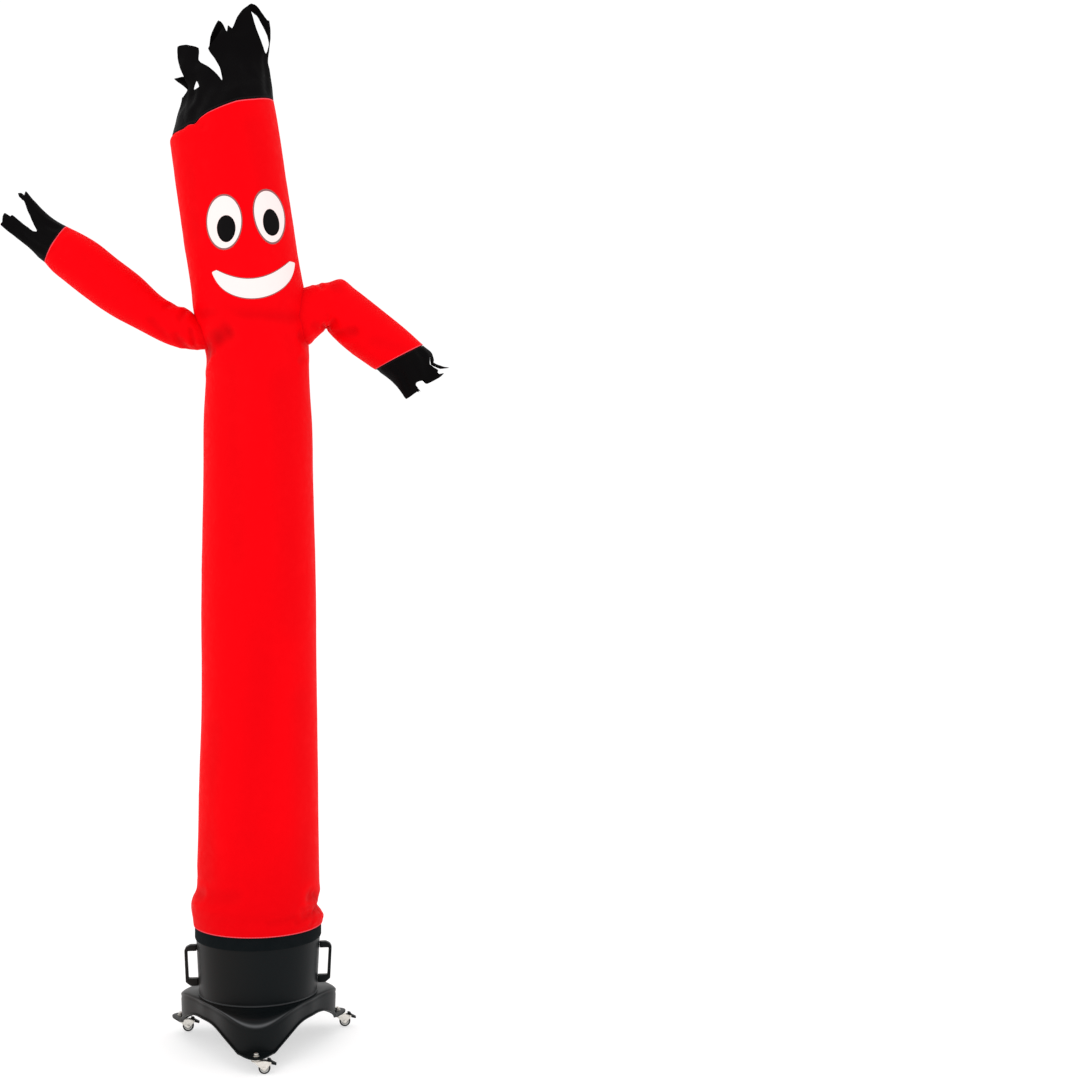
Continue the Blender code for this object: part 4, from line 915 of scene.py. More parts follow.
def rolled(name, across, along, put, creased=None):
    """A flat cloth of across by along squares, rolled into a tube by put and joined where it meets."""
    cloth = begun(name, bpy.ops.mesh.primitive_grid_add, x_subdivisions=across, y_subdivisions=along,
                  size=1.0)
    places = [(vertex.co.x + 0.5, vertex.co.y + 0.5) for vertex in cloth.data.vertices]
    for vertex, (u, v) in zip(cloth.data.vertices, places):
        vertex.co = put(u, v)
    # each point's share of painted shade is kept on the mesh
    if creased:
        depths = cloth.data.attributes.new(CREASE_SHADE, "FLOAT", "POINT")
        depths.data.foreach_set("value", [creased(u, v) for u, v in places])
    bpy.ops.object.mode_set(mode="EDIT")
    welded()
    bpy.ops.object.mode_set(mode="OBJECT")
    bpy.ops.object.shade_smooth()
    return cloth


def nylon(name, colour, deep, girth, length, seams, crinkle=1.0, specular=0.025):
    """Rip-stop nylon: a fine square weave, crinkles, and lines of stitches at heights along it. Its deep
    colour is painted light: painted shade in the red's folds, and a painted sheen on the black's crinkles.
    """
    finish = Finish(name, Specular_IOR_Level=specular)
    across, along = finish.on_cloth()
    across, along = across * girth, along * length
    creases = finish.cloud(26.0, 5.0)
    broad = finish.cloud(5.0, 2.0)
    ridge = (1.0 - abs(creases - 0.5) * 5.0).clipped()
    weave = across.wave(WEAVE_PITCH) * along.wave(WEAVE_PITCH)
    rip = abs(across.wave(RIP_PITCH)) ** 14.0 + abs(along.wave(RIP_PITCH)) ** 14.0
    # painted light: marked folds, seams and hem are painted darker; crinkle ridges are painted darker on the
    # red and lighter on the black; and there is some random tone
    painted_light_and_tone = (broad * 0.05 + ridge * 0.04 + finish.stored(CREASE_SHADE)).clipped()
    cloth = finish.blended(painted_light_and_tone, colour, deep)
    dash = (across.wave(STITCH_PITCH) + 0.75).clipped()
    stitched, groove = 0.0 * across, 0.0 * across
    for height, wide, thread in seams:
        row = (along.bell(height, wide) * 3.0).clipped() * dash
        cloth = finish.blended(row, cloth, thread)
        stitched = stitched + row
        groove = groove + along.bell(height, wide * 4.0)
    finish.feed("Base Color", cloth)
    finish.feed("Roughness", 0.50 + ridge * 0.12 + weave * 0.03)
    finish.relief(creases * 1.1 * crinkle + ridge * 0.16 * crinkle + weave * 0.012 + rip * 0.02
                  + stitched * 0.20 - groove * 0.35)
    return finish.material


body_rings = flowing(BODY_RINGS, BODY_ALONG)


def tucked(degrees):
    """How far the crown's seam hangs down, and more at the tuck near its left end."""
    after = min(max(bisect.bisect([row[0] for row in SEAM_DROPS], degrees), 1), len(SEAM_DROPS) - 1)
    (low_deg, low), (high_deg, high) = SEAM_DROPS[after - 1:after + 1]
    hang = low + (high - low) * (degrees - low_deg) / (high_deg - low_deg)
    away = (degrees - SEAM_TUCK_DEG) / SEAM_TUCK_WIDE
    beside = (degrees - SEAM_TUCK_DEG + 2.2 * SEAM_TUCK_WIDE) / (1.6 * SEAM_TUCK_WIDE)
    return hang + SEAM_TUCK_DEEP * (math.exp(-away * away) - 0.55 * math.exp(-beside * beside))


def hung(place, degrees, from_seam):
    """Lowers a place near the crown's seam to where the seam hangs."""
    near = max(1.0 - from_seam / SEAM_REACH, 0.0)
    place.z -= tucked(degrees) * near * near
    return place


def on_tube(rings, folds, u, v):
    """Where (u, v) lies on an upright tube: its turn, ring and plain place, and how far folds press it."""
    degrees = 360.0 * (u - 0.5)
    ring = rings[round(v * (len(rings) - 1))]
    plain = on_ring(ring, degrees)
    return degrees, ring, plain, folded(degrees, plain.z, (ring[2] - ring[0]) / 2, folds)


def body_place(u, v):
    degrees, ring, plain, pressed = on_tube(body_rings, BODY_FOLDS, u, v)
    calm = min(v * 40.0, 1.0) * min((1.0 - v) * 40.0, 1.0)
    out = crumpled(plain, CRUMPLE) * calm - pressed
    return hung(on_ring(ring, degrees, out), degrees, (1.0 - v) * BODY_FLAT[1])


def body_painted_shade(u, v):
    # painted shade: by the depth of the folds, and darker over the hem
    over_hem_shade = HEM_SHADE * max(1.0 - v * BODY_FLAT[1] / HEM_SHADE_REACH, 0.0)
    return on_tube(body_rings, BODY_FOLDS, u, v)[-1] / CREASE_FULL + over_hem_shade


body_tube = rolled("red_body", BODY_ACROSS, BODY_ALONG, body_place, body_painted_shade)
red_body = nylon("red_nylon_body", NYLON_RED, NYLON_RED_SHADED, *BODY_FLAT,
                 ((0.0014, 0.0013, THREAD_PINK), (BODY_FLAT[1] - 0.0016, 0.0016, THREAD_PINK)))
body_tube.data.materials.append(red_body)
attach(body_tube, "body")
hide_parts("body_tube")

# ---- Sleeves -----------------------------------------------------------------------------------
# Two narrower tubes of the same nylon, sewn into holes in the body and left open at the cuffs. One
# is blown up and out; the other is bent at the elbow and hangs forward-down from it.

ARM_RINGS = {
    "arm_left": (
        # upper_x, upper_z, lower_x, lower_z, y, depth over width
        (-0.1283, 2.0332, -0.1114, 1.9542, 0.000, 1.10),
        (-0.1706, 2.0501, -0.1480, 1.9570, 0.000, 1.10),
        (-0.1960, 2.0684, -0.1847, 1.9570, 0.000, 1.06),
        (-0.2298, 2.0811, -0.2383, 1.9655, 0.000, 1.02),
        (-0.2750, 2.1093, -0.3398, 2.0134, 0.000, 1.00),
        (-0.3285, 2.1600, -0.4103, 2.0515, 0.000, 1.00),
        (-0.3906, 2.2080, -0.4752, 2.0960, 0.000, 1.00),
        (-0.4526, 2.2559, -0.5358, 2.1431, 0.000, 1.00),
        (-0.5006, 2.2827, -0.5739, 2.1755, 0.000, 1.00),
        (-0.5300, 2.2965, -0.5905, 2.1955, 0.000, 1.00),
    ),
    "arm_right": (
        (0.0917, 2.1276, 0.0973, 1.9713, 0.000, 0.92),
        (0.1311, 2.1342, 0.1404, 1.9723, 0.000, 0.92),
        (0.1593, 2.1423, 0.1602, 1.9896, 0.000, 0.96),
        (0.1960, 2.1505, 0.1827, 2.0116, 0.000, 1.02),
        (0.2340, 2.1590, 0.1900, 2.0200, 0.002, 1.04),
        (0.2745, 2.1310, 0.1970, 2.0110, 0.005, 1.04),
        (0.3125, 2.1030, 0.2300, 1.9775, 0.011, 1.00),
        (0.3607, 2.0663, 0.2625, 1.9515, 0.020, 0.98),
        (0.4171, 2.0225, 0.2985, 1.9275, 0.030, 0.96),
        (0.4685, 1.9780, 0.3322, 1.9060, 0.040, 0.94),
    ),
}
ARM_FOLDS = {
    "arm_left": (
        # from_deg, from_along, to_deg, to_along, half_width, depth   (along it from its first ring)
        (84.0, 0.088, 30.0, 0.120, 0.012, 0.0045),
        (70.0, 0.070, 8.0, 0.074, 0.009, 0.0035),
        (60.0, 0.110, 20.0, 0.190, 0.014, 0.0030),
        (-70.0, 0.080, -20.0, 0.110, 0.010, 0.0035),
        (-88.0, 0.120, -40.0, 0.170, 0.012, 0.0030),
        (130.0, 0.080, 170.0, 0.130, 0.012, 0.0045),
        (20.0, 0.300, -10.0, 0.420, 0.020, 0.0016),
        (60.0, 0.520, 10.0, 0.500, 0.010, 0.0022),
        (-50.0, 0.505, -5.0, 0.520, 0.010, 0.0022),
    ),
    "arm_right": (
        (92.0, 0.150, 40.0, 0.178, 0.012, 0.0065),
        (90.0, 0.138, 52.0, 0.110, 0.010, 0.0040),
        (88.0, 0.164, 22.0, 0.238, 0.014, 0.0050),
        (78.0, 0.128, 30.0, 0.060, 0.012, 0.0030),
        (-78.0, 0.120, -30.0, 0.140, 0.014, 0.0030),
        (-86.0, 0.075, -48.0, 0.100, 0.009, 0.0035),
        (140.0, 0.150, 190.0, 0.170, 0.014, 0.0060),
        (10.0, 0.300, -30.0, 0.400, 0.020, 0.0022),
        (70.0, 0.430, 28.0, 0.400, 0.010, 0.0026),
        (-58.0, 0.410, -14.0, 0.430, 0.010, 0.0026),
    ),
}
ARM_ACROSS, ARM_ALONG = 96, 190
ARM_FLAT = {"arm_left": (0.44, 0.500), "arm_right": (0.48, 0.450)}
SHOULDER_SHARE = 0.5                     # the wall is crossed within this share of a sleeve
GATHERS, GATHER_DEEP, GATHER_REACH = 17, 0.0009, 0.040
SEAM_SHADE, SEAM_SHADE_REACH = 0.28, 0.008

body_wall = BVHTree.FromObject(body_tube, bpy.context.evaluated_depsgraph_get())


def leaves_body(rings, degrees):
    """The share of a sleeve at which a line along it comes out through the body's wall."""
    last = 0.0
    steps = int(ARM_ALONG * SHOULDER_SHARE)
    for step in range(steps):
        start, end = on_ring(rings[step], degrees), on_ring(rings[step + 1], degrees)
        run = end - start
        if run.length < WELD:
            continue
        hit = body_wall.ray_cast(start, run.normalized(), run.length)
        if hit[0] is not None:
            last = (step + (hit[0] - start).length / run.length) / ARM_ALONG
    return last


def between(rings, share):
    """The ring at a share of the way along, between its two neighbours."""
    reach = min(max(share, 0.0), 1.0) * (len(rings) - 1)
    i = min(int(reach), len(rings) - 2)
    t = reach - i
    return tuple(a + (b - a) * t for a, b in zip(rings[i], rings[i + 1]))


def make_sleeve(name):
    rings = flowing(ARM_RINGS[name], ARM_ALONG)
    middles = [Vector(((r[0] + r[2]) / 2, r[4], (r[1] + r[3]) / 2)) for r in rings]
    length = sum((b - a).length for a, b in zip(middles, middles[1:]))
    starts = [leaves_body(rings, 360.0 * (step / ARM_ACROSS - 0.5)) for step in range(ARM_ACROSS + 1)]

    def on_sleeve(u, v):
        """The turn, share, ring, length past the seam, and how far folds press in, at (u, v)."""
        degrees = 360.0 * (u - 0.5)
        start = starts[round(u * ARM_ACROSS)]
        share = start + (1.0 - start) * v
        ring = between(rings, share)
        girth_r = math.hypot(ring[2] - ring[0], ring[3] - ring[1]) / 2
        pressed = folded(degrees, share * length, girth_r, ARM_FOLDS[name])
        return degrees, share, ring, (share - start) * length, pressed

    def put(u, v):
        degrees, share, ring, past, pressed = on_sleeve(u, v)
        plain = on_ring(ring, degrees)
        seam = math.sin(math.radians(degrees) * GATHERS + 2.0 * noise.noise(plain * 16.0))
        gathers = GATHER_DEEP * seam * math.exp(-past / GATHER_REACH) * min(past / 0.006, 1.0)
        calm = min(past / 0.02, 1.0) * min((1.0 - share) * 30.0, 1.0)
        out = crumpled(plain, CRUMPLE) * calm + gathers
        out -= pressed * min(past / 0.008, 1.0)
        return on_ring(ring, degrees, out)

    def creased(u, v):
        *_, past, pressed = on_sleeve(u, v)
        # painted shade: in folds, and beside the armhole seam
        return pressed / CREASE_FULL + SEAM_SHADE * math.exp(-past / SEAM_SHADE_REACH)

    sleeve = rolled("red_" + name, ARM_ACROSS, ARM_ALONG, put, creased)
    girth, long = ARM_FLAT[name]
    seams = ((0.0024, 0.0012, THREAD_DEEP), (long - 0.0015, 0.0015, THREAD_PINK))
    sleeve.data.materials.append(nylon("red_nylon_" + name, NYLON_RED, NYLON_RED_SHADED, girth, long, seams))
    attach(sleeve, "body")
    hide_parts(name)


for name in ARM_RINGS:
    make_sleeve(name)

# ---- Crown and hands ---------------------------------------------------------------------------
# Black cuffs of the same nylon, sewn on with the edges turned in. Each is cut with hot scissors into
# loose strips that flap in the air; the crown's front and its back are cut unlike each other.

CROWN_RINGS = (
    # left_x, left_z, right_x, right_z, y, depth over width
    (-0.2399, 2.5706, 0.0424, 2.6666, 0.0, 0.98),
    (-0.2270, 2.6141, 0.0395, 2.6930, 0.0, 0.92),
    (-0.2129, 2.6620, 0.0361, 2.7184, 0.0, 0.80),
    (-0.2186, 2.6987, 0.0324, 2.7466, 0.0, 0.66),
    (-0.2383, 2.7240, 0.0275, 2.7720, 0.0, 0.52),
    (-0.2340, 2.7663, 0.0280, 2.8002, 0.0, 0.42),
    (-0.2340, 2.8171, 0.0290, 2.8368, 0.0, 0.34),
    (-0.1537, 2.8566, 0.0285, 2.8735, 0.0, 0.32),
    (-0.1283, 2.8904, 0.0240, 2.9003, 0.0, 0.34),
    (-0.0719, 2.9186, 0.0056, 2.9228, 0.0, 0.45),
    (-0.0409, 2.9411, -0.0127, 2.9411, 0.0, 0.60),
)
HAND_RINGS = {
    "hand_left": (
        # upper_x, upper_z, lower_x, lower_z, y, depth over width
        (-0.5300, 2.2963, -0.5912, 2.1961, 0.0000, 1.00),
        (-0.5701, 2.3207, -0.6124, 2.2136, 0.0000, 0.80),
        (-0.6209, 2.3701, -0.6674, 2.2615, 0.0000, 0.50),
        (-0.6449, 2.3997, -0.7125, 2.2954, 0.0000, 0.36),
        (-0.6674, 2.4223, -0.7323, 2.3264, 0.0000, 0.30),
    ),
    "hand_right": (
        (0.4688, 1.9755, 0.3350, 1.9079, 0.0405, 0.93),
        (0.4908, 1.9599, 0.3780, 1.8753, 0.0480, 0.78),
        (0.5077, 1.9373, 0.4090, 1.8358, 0.0520, 0.52),
        (0.5331, 1.9232, 0.4287, 1.8160, 0.0560, 0.36),
        (0.5528, 1.9147, 0.4485, 1.7991, 0.0580, 0.30),
    ),
}
# The outlines that the strips are cut to, in the front view, as (x, z).
CROWN_FRONT_CUT = (
    (-0.2750, 2.5100), (-0.2440, 2.5700), (-0.2070, 2.6560), (-0.1930, 2.6830), (-0.2070, 2.7160),
    (-0.2170, 2.7400), (-0.2240, 2.7700), (-0.2240, 2.8015), (-0.1990, 2.8045), (-0.1640, 2.7930),
    (-0.1640, 2.7600), (-0.1570, 2.7490), (-0.1330, 2.7330), (-0.1110, 2.7120), (-0.0980, 2.6940),
    (-0.0955, 2.7150), (-0.1060, 2.7360), (-0.1220, 2.7650), (-0.1380, 2.7910), (-0.1150, 2.8260),
    (-0.0980, 2.8590), (-0.0870, 2.8450), (-0.0840, 2.8640), (-0.0720, 2.8560), (-0.0590, 2.8880),
    (-0.0420, 2.9130), (-0.0250, 2.9230), (-0.0060, 2.8600), (0.0125, 2.8110), (0.0230, 2.7880),
    (0.0900, 2.7700), (0.0900, 2.5100),
)
CROWN_BACK_CUT = (
    (-0.2750, 2.5100), (-0.2440, 2.5700), (-0.2100, 2.6710), (-0.2010, 2.6960), (-0.2360, 2.7190),
    (-0.2100, 2.7330), (-0.1860, 2.6980), (-0.1400, 2.6820), (-0.1030, 2.7260), (-0.1180, 2.7880),
    (-0.1400, 2.8100), (-0.1360, 2.8430), (-0.1240, 2.8700), (-0.1130, 2.8890), (-0.0990, 2.8790),
    (-0.0750, 2.8240), (-0.0580, 2.7680), (-0.0470, 2.7050), (-0.0155, 2.7220), (0.0070, 2.7780),
    (0.0240, 2.8030), (0.0290, 2.8230), (0.0245, 2.8480), (0.0135, 2.8720), (-0.0025, 2.9020),
    (-0.0190, 2.9160), (-0.0325, 2.9290), (-0.0205, 2.9370), (-0.0050, 2.9300), (0.0140, 2.9070),
    (0.0300, 2.8870), (0.0900, 2.8750), (0.0900, 2.5100),
)
HAND_CUTS = {
    "hand_left": (
        (-0.5092, 2.3215), (-0.5292, 2.3025), (-0.5752, 2.3245), (-0.6222, 2.3698), (-0.6412, 2.3926),
        (-0.6449, 2.3805), (-0.6519, 2.3859), (-0.6615, 2.3847), (-0.6572, 2.3737), (-0.6452, 2.3644),
        (-0.6344, 2.3359), (-0.6209, 2.3066), (-0.6067, 2.2775), (-0.6184, 2.2782), (-0.6452, 2.2982),
        (-0.6750, 2.3230), (-0.6815, 2.3199), (-0.6970, 2.3292), (-0.7032, 2.3199), (-0.7052, 2.3049),
        (-0.7100, 2.2971), (-0.6669, 2.2618), (-0.6372, 2.2390), (-0.6127, 2.2147), (-0.5922, 2.1895),
        (-0.5492, 2.1815),
    ),
    "hand_right": (
        (0.4320, 2.0095), (0.4700, 1.9825), (0.4856, 1.9668), (0.4958, 1.9510), (0.5000, 1.9338),
        (0.4985, 1.9271), (0.5130, 1.9208), (0.5310, 1.9157), (0.5460, 1.9143), (0.5210, 1.9115),
        (0.4950, 1.9225), (0.4920, 1.9345), (0.4913, 1.9453), (0.4876, 1.9422), (0.4876, 1.9208),
        (0.5116, 1.9064), (0.5102, 1.8991), (0.5150, 1.8949), (0.5288, 1.8971), (0.5186, 1.8864),
        (0.4834, 1.8683), (0.4698, 1.8777), (0.4569, 1.8748), (0.4481, 1.8675), (0.4476, 1.8605),
        (0.4611, 1.8438), (0.4540, 1.8452), (0.4216, 1.8230), (0.4078, 1.8416), (0.3920, 1.8619),
        (0.3692, 1.8799), (0.3475, 1.8926), (0.3220, 1.9025), (0.3120, 1.9395),
    ),
}
CROWN_HOLE = ((-0.1690, 2.6970), (-0.1760, 2.6740), (-0.1650, 2.6755), (-0.1615, 2.6800))
CROWN_FOLDS = (
    # from_deg, from_z, to_deg, to_z, half_width, depth
    (-33.0, 2.600, -48.0, 2.665, 0.012, 0.0060),
    (-31.0, 2.600, -20.0, 2.700, 0.016, 0.0040),
    (-60.0, 2.640, -30.0, 2.760, 0.020, 0.0060),
    (-10.0, 2.620, 12.0, 2.860, 0.020, 0.0045),
    (34.0, 2.640, 22.0, 2.840, 0.018, 0.0040),
    (62.0, 2.660, 70.0, 2.780, 0.016, 0.0040),
    (-78.0, 2.600, -62.0, 2.690, 0.014, 0.0040),
    (140.0, 2.640, 160.0, 2.860, 0.022, 0.0050),
    (-150.0, 2.620, -130.0, 2.800, 0.022, 0.0050),
    (-12.0, 2.770, -34.0, 2.800, 0.012, 0.0040),
)
HAND_FOLDS = (
    # from_deg, from_along, to_deg, to_along, half_width, depth   (along the cuff from its seam)
    (-40.0, 0.010, -20.0, 0.120, 0.010, 0.0040),
    (30.0, 0.005, 44.0, 0.100, 0.009, 0.0035),
    (0.0, 0.030, 8.0, 0.140, 0.008, 0.0025),
    (150.0, 0.010, 165.0, 0.120, 0.010, 0.0040),
    (-120.0, 0.020, -140.0, 0.110, 0.010, 0.0030),
)
CUFF_CLOTH, CUFF_CRUMPLE = 0.0009, 0.0016
CUT_FAR, CUT_OVERLAP = 0.4, 0.004
CUT_STEPS, CUT_FRAY = 4, 0.0007
CROWN_ACROSS, CROWN_ALONG = 176, 130
HAND_ACROSS, HAND_ALONG = 104, 90
CROWN_FLAT, CROWN_AREA = (0.93, 0.340), 0.133
HAND_FLAT = {"hand_left": (0.37, 0.170), "hand_right": (0.46, 0.150)}
NYLON_BLACK = (0.0018, 0.0014, 0.0016, 1.0)
# the lighter black is a painted sheen, on the cloth's crinkle ridges and in soft patches on the pupils
NYLON_BLACK_SHINE = (0.0060, 0.0050, 0.0054, 1.0)
THREAD_BLACK = (0.010, 0.008, 0.009, 1.0)


def cut_line(points):
    """An outline run on smoothly through its points, a little ragged as hot scissors leave it."""
    ragged = []
    for i, (x, z) in enumerate(points):
        before, after, later = points[i - 1], points[(i + 1) % len(points)], points[(i + 2) % len(points)]
        for step in range(CUT_STEPS):
            t = step / CUT_STEPS
            smooth = [0.5 * (2 * b + (c - a) * t + (2 * a - 5 * b + 4 * c - d) * t * t
                             + (3 * b - a - 3 * c + d) * t ** 3)
                      for a, b, c, d in zip(before, (x, z), after, later)]
            straight = [b + (c - b) * t for b, c in zip((x, z), after)]
            fray = CUT_FRAY * noise.noise(Vector((i + t, 3.1, 0.7)) * 3.0) * min(step, 1)
            ragged.append(tuple(AXIS_X * (k == 0) + 0.5 * s + 0.5 * p + fray
                                for k, (s, p) in enumerate(zip(smooth, straight))))
    return ragged


def cut_to(cuff, keep, name, flat):
    """Gives a cuff its cloth's thickness, cuts it to the shape kept of it, and finishes it."""
    walled(cuff, CUFF_CLOTH)
    combined(cuff, "INTERSECT", keep)
    smoothed(cuff, 60.0)
    cuff.data.materials.clear()
    seams = ((0.0030, 0.0014, THREAD_BLACK),)
    cuff.data.materials.append(nylon(name, NYLON_BLACK, NYLON_BLACK_SHINE, *flat, seams, 1.5, 0.03))


crown_rings = flowing(CROWN_RINGS, CROWN_ALONG)


def crown_place(u, v):
    degrees, ring, plain, pressed = on_tube(crown_rings, CROWN_FOLDS, u, v)
    calm = min(v * 14.0, 1.0)
    loose = 0.006 * noise.noise(plain * 9.0 + Vector((2.0, 5.0, 1.0))) * min(v * 3.0, 1.0)
    out = (crumpled(plain, CUFF_CRUMPLE) + loose - pressed) * calm
    return hung(on_ring(ring, degrees, out), degrees, v * CROWN_FLAT[1])


crown = rolled("black_crown", CROWN_ACROSS, CROWN_ALONG, crown_place)
crown_keep = plate("crown_keep", cut_line(CROWN_FRONT_CUT), AXIS_Y - CUT_FAR, AXIS_Y + CUT_OVERLAP)
crown_back = plate("crown_back", cut_line(CROWN_BACK_CUT), AXIS_Y - CUT_OVERLAP, AXIS_Y + CUT_FAR)
crown_hole = plate("crown_hole", cut_line(CROWN_HOLE), AXIS_Y - CUT_FAR, AXIS_Y)
combined(crown_keep, "UNION", crown_back)
combined(crown_keep, "DIFFERENCE", crown_hole)
cut_to(crown, crown_keep, "black_nylon_crown", CROWN_FLAT)
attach(crown, "body")
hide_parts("crown")


def make_hand(name):
    rings = flowing(HAND_RINGS[name], HAND_ALONG)

    def put(u, v):
        degrees = 360.0 * (u - 0.5)
        ring = rings[round(v * HAND_ALONG)]
        plain = on_ring(ring, degrees)
        girth_r = math.hypot(ring[2] - ring[0], ring[3] - ring[1]) / 2
        calm = min(v * 12.0, 1.0)
        out = crumpled(plain, CUFF_CRUMPLE) - folded(degrees, v * HAND_FLAT[name][1], girth_r, HAND_FOLDS)
        return on_ring(ring, degrees, out * calm)

    hand = rolled("black_" + name, HAND_ACROSS, HAND_ALONG, put)
    keep = plate("hand_keep", cut_line(HAND_CUTS[name]), AXIS_Y - CUT_FAR, AXIS_Y + CUT_FAR)
    cut_to(hand, keep, "black_nylon_" + name, HAND_FLAT[name])
    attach(hand, "body")
    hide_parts(name)


for name in HAND_RINGS:
    make_hand(name)

# ---- Face --------------------------------------------------------------------------------------
# Five patches of white and black nylon, cut with scissors and sewn flat on the head with a narrow
# satin stitch in dark red thread: two eyes, a pupil on each, and a smile. The stitch's dark red also
# stands for painted shade along the white patches' edges.

EYES = {
    # x, z, width, height, lean_deg, egg (how much wider at the top than at the bottom)
    "eye_left": (-0.0895, 2.2940, 0.0990, 0.1520, 0.0, 0.03),
    "eye_right": (0.0328, 2.3147, 0.0865, 0.1540, 7.0, 0.08),
    "pupil_left": (-0.0838, 2.2756, 0.0505, 0.0734, 0.0, 0.05),
    "pupil_right": (0.0368, 2.2990, 0.0440, 0.0750, 5.0, -0.06),
}
MOUTH_X, MOUTH_Z, MOUTH_LEAN = -0.0108, 2.1765, 9.3
MOUTH_HALF_TOP, MOUTH_SAG_TOP, MOUTH_TIP = 0.0985, 0.0340, 0.004
MOUTH_HALF_BOTTOM, MOUTH_SAG_BOTTOM, MOUTH_ROUND = 0.1112, 0.0925, 0.0075
PATCH_LIFT, PATCH_EDGE, PUPIL_LIFT = 0.0011, 0.0004, 0.0009
MOUTH_TIP_FROM, MOUTH_TIP_SPAN, SMILE_END = 0.93, 0.07, 0.006
EYE_AROUND, EYE_RINGS = 112, 18
MOUTH_ALONG, MOUTH_ACROSS = 130, 22
SATIN_WIDE, SATIN_PITCH = 0.0031, 0.0045
PATCH_WHITE = (0.93, 0.760, 0.750, 1.0)
PATCH_WARM = (0.93, 0.785, 0.760, 1.0)
# the dark red of the thread, and of painted shade along the patch edges
THREAD_RED_AND_EDGE_SHADE = (0.150, 0.001, 0.004, 1.0)


def patch_nylon(name, colour, warm, edge_share, pupil=False):
    """Nylon with a satin stitch along its edge, where V is 1 (and, on the smile, 0 too). The stitch's dark
    red is thread and painted edge shade together.
    """
    finish = Finish(name, Specular_IOR_Level=0.04)
    around, across = finish.on_cloth()
    edge = across > 1.0 - edge_share
    if name.startswith("smile"):
        ends = (around < SMILE_END) + (around > 1.0 - SMILE_END)
        edge = (edge + (across < edge_share) + ends).clipped()
    cloud = finish.cloud(34.0, 4.0)
    ridge = (1.0 - abs(cloud - 0.5) * 5.0).clipped()
    threads = finish.cloud(900.0, 1.0)
    stitch = around.wave(SATIN_PITCH) * 0.5 + 0.5
    cloth = finish.blended(finish.cloud(17.0), colour, warm)
    thread = colour if pupil else THREAD_RED_AND_EDGE_SHADE
    finish.feed("Base Color", finish.blended(edge * (0.7 + stitch * 0.3), cloth, thread))
    finish.feed("Roughness", 0.52 + ridge * 0.1)
    finish.relief(cloud * 0.7 + threads * 0.03 + edge * (0.25 + stitch * 0.15) + ridge * 0.1)
    return finish.material


def on_head(x, z, lift):
    """A place on the front of the head, in the front view, lifted off its wall."""
    start = AXIS + Vector((x, -CUT_FAR, z))
    place, normal, *_ = body_wall.ray_cast(start, Vector((0.0, 1.0, 0.0)))
    return place + normal * (lift if normal.y < 0.0 else -lift)


def turned_about(u, w, x, z, lean_deg):
    lean = math.radians(lean_deg)
    return x + u * math.cos(lean) - w * math.sin(lean), z + u * math.sin(lean) + w * math.cos(lean)


def make_eye(name, x, z, width, height, lean_deg, egg):
    """An oval patch, domed a little, with its rim pressed to the cloth."""
    on_top = PATCH_LIFT + PUPIL_LIFT if name.startswith("pupil") else PATCH_LIFT

    def put(u, v):
        turn = math.tau * u
        wide = width / 2 * (1.0 + egg * math.sin(turn))
        place = turned_about(wide * v * math.cos(turn), height / 2 * v * math.sin(turn), x, z, lean_deg)
        return on_head(*place, PATCH_EDGE + (on_top - PATCH_EDGE) * (1.0 - v ** 10) + (on_top - PATCH_LIFT))

    patch = rolled("sewn_" + name, EYE_AROUND, EYE_RINGS, put)
    black = name.startswith("pupil")
    colours = (NYLON_BLACK, NYLON_BLACK_SHINE) if black else (PATCH_WHITE, PATCH_WARM)
    patch.data.materials.append(patch_nylon("patch_" + name, *colours, 2 * SATIN_WIDE / width, black))
    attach(patch, "body")
    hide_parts(name)


for name, values in EYES.items():
    make_eye(name, *values)


def mouth_place(u, v):
    """The smile: from half an oval, its lower edge, to a shallow curve, with round tips."""
    along = -math.cos(math.pi * u)
    low = (MOUTH_HALF_BOTTOM * along, -MOUTH_SAG_BOTTOM * math.sqrt(max(1.0 - along * along, 0.0)))
    high = (MOUTH_HALF_TOP * along, MOUTH_TIP - (MOUTH_SAG_TOP + MOUTH_TIP) * (1.0 - along * along))
    x, z = (a + (b - a) * v for a, b in zip(low, high))
    tip = max((abs(along) - MOUTH_TIP_FROM) / MOUTH_TIP_SPAN, 0.0) * 4.0 * v * (1.0 - v) * MOUTH_ROUND
    x += math.copysign(tip, along)
    flat = min(v, 1.0 - v, 8.0 * u, 8.0 * (1.0 - u)) * 2.0
    lift = PATCH_EDGE + (PATCH_LIFT - PATCH_EDGE) * (1.0 - (1.0 - min(flat, 1.0)) ** 8)
    return on_head(*turned_about(x, z, MOUTH_X, MOUTH_Z, MOUTH_LEAN), lift)


mouth = rolled("sewn_smile", MOUTH_ALONG, MOUTH_ACROSS, mouth_place)
mouth.data.materials.append(patch_nylon("smile_white", PATCH_WHITE, PATCH_WARM, 0.04))
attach(mouth, "body")
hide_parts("mouth")

# ---- Studio ------------------------------------------------------------------------------------
# A pale floor under even white light, one large soft lamp at the upper left and a weaker one at the
# right, and the camera at chest height.

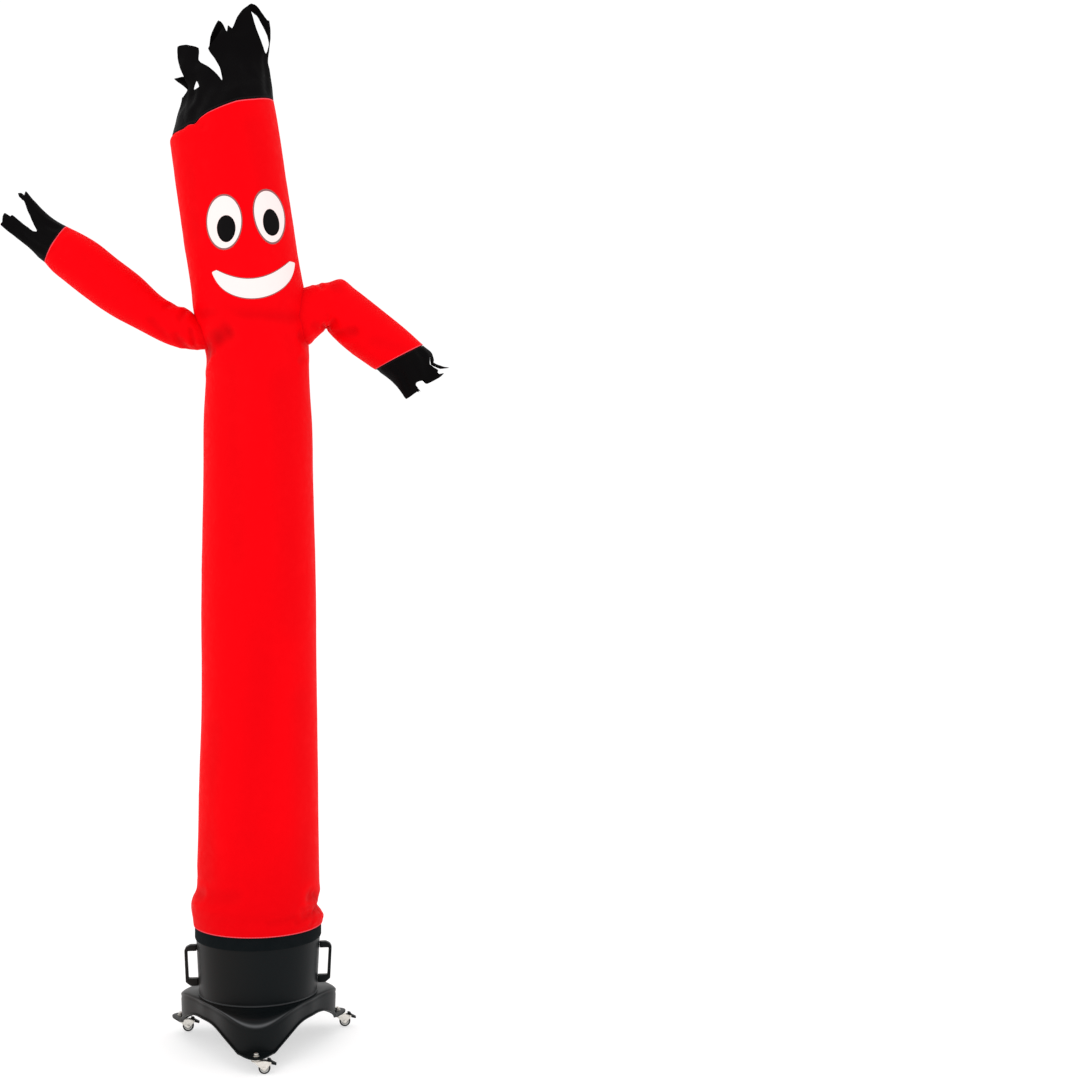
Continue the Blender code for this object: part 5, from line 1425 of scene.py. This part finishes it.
FLOOR_SIZE = 60.0
FLOOR_PALE = (0.55, 0.55, 0.55, 1.0)
FLOOR_GLOW = 0.95
SKY_STRENGTH = 1.04
LAMPS = (
    # name, place, aimed at, size, watts
    ("key_lamp", (-3.2, -3.6, 4.2), (0.0, 0.0, 1.5), 2.6, 50.0),
    ("fill_lamp", (3.6, -2.6, 2.6), (0.0, 0.0, 1.2), 2.4, 15.0),
)
CAMERA_X, CAMERA_Y, CAMERA_Z = 0.1089, -4.9412, 1.571          # from the blower's axis
CAMERA_YAW, CAMERA_PITCH, CAMERA_LENS = 6.011, 0.017, 57.88
CAMERA_SENSOR, CAMERA_SHIFT = 36.0, 0.05

floor = begun("floor", bpy.ops.mesh.primitive_plane_add, size=FLOOR_SIZE, location=(0.0, 0.0, 0.0))
pale = Finish("pale_floor", Base_Color=FLOOR_PALE, Specular_IOR_Level=0.1, Roughness=0.8,
              Emission_Color=FLOOR_PALE, Emission_Strength=FLOOR_GLOW)
floor.data.materials.append(pale.material)

world = bpy.data.worlds.new("even_white")
world.use_nodes = True
world.node_tree.nodes["Background"].inputs["Color"].default_value = (1.0, 1.0, 1.0, 1.0)
world.node_tree.nodes["Background"].inputs["Strength"].default_value = SKY_STRENGTH
bpy.context.scene.world = world
bpy.context.scene.view_settings.view_transform = "Standard"

for name, place, aim, size, watts in LAMPS:
    lamp = bpy.data.objects.new(name, bpy.data.lights.new(name, "AREA"))
    lamp.data.size = size
    lamp.data.energy = watts
    lamp.location = place
    lamp.rotation_euler = (Vector(aim) - Vector(place)).to_track_quat("-Z", "Y").to_euler()
    bpy.context.scene.collection.objects.link(lamp)

camera = bpy.data.objects.new("camera", bpy.data.cameras.new("camera"))
camera.data.sensor_fit = "VERTICAL"
camera.data.sensor_height = CAMERA_SENSOR
camera.data.lens = CAMERA_LENS
camera.data.shift_x = CAMERA_SHIFT
camera.data.shift_y = -CAMERA_SHIFT
camera.location = AXIS + Vector((CAMERA_X, CAMERA_Y, CAMERA_Z))
camera.rotation_euler = (math.radians(90.0 + CAMERA_PITCH), 0.0, -math.radians(CAMERA_YAW))
bpy.context.scene.collection.objects.link(camera)
bpy.context.scene.camera = camera
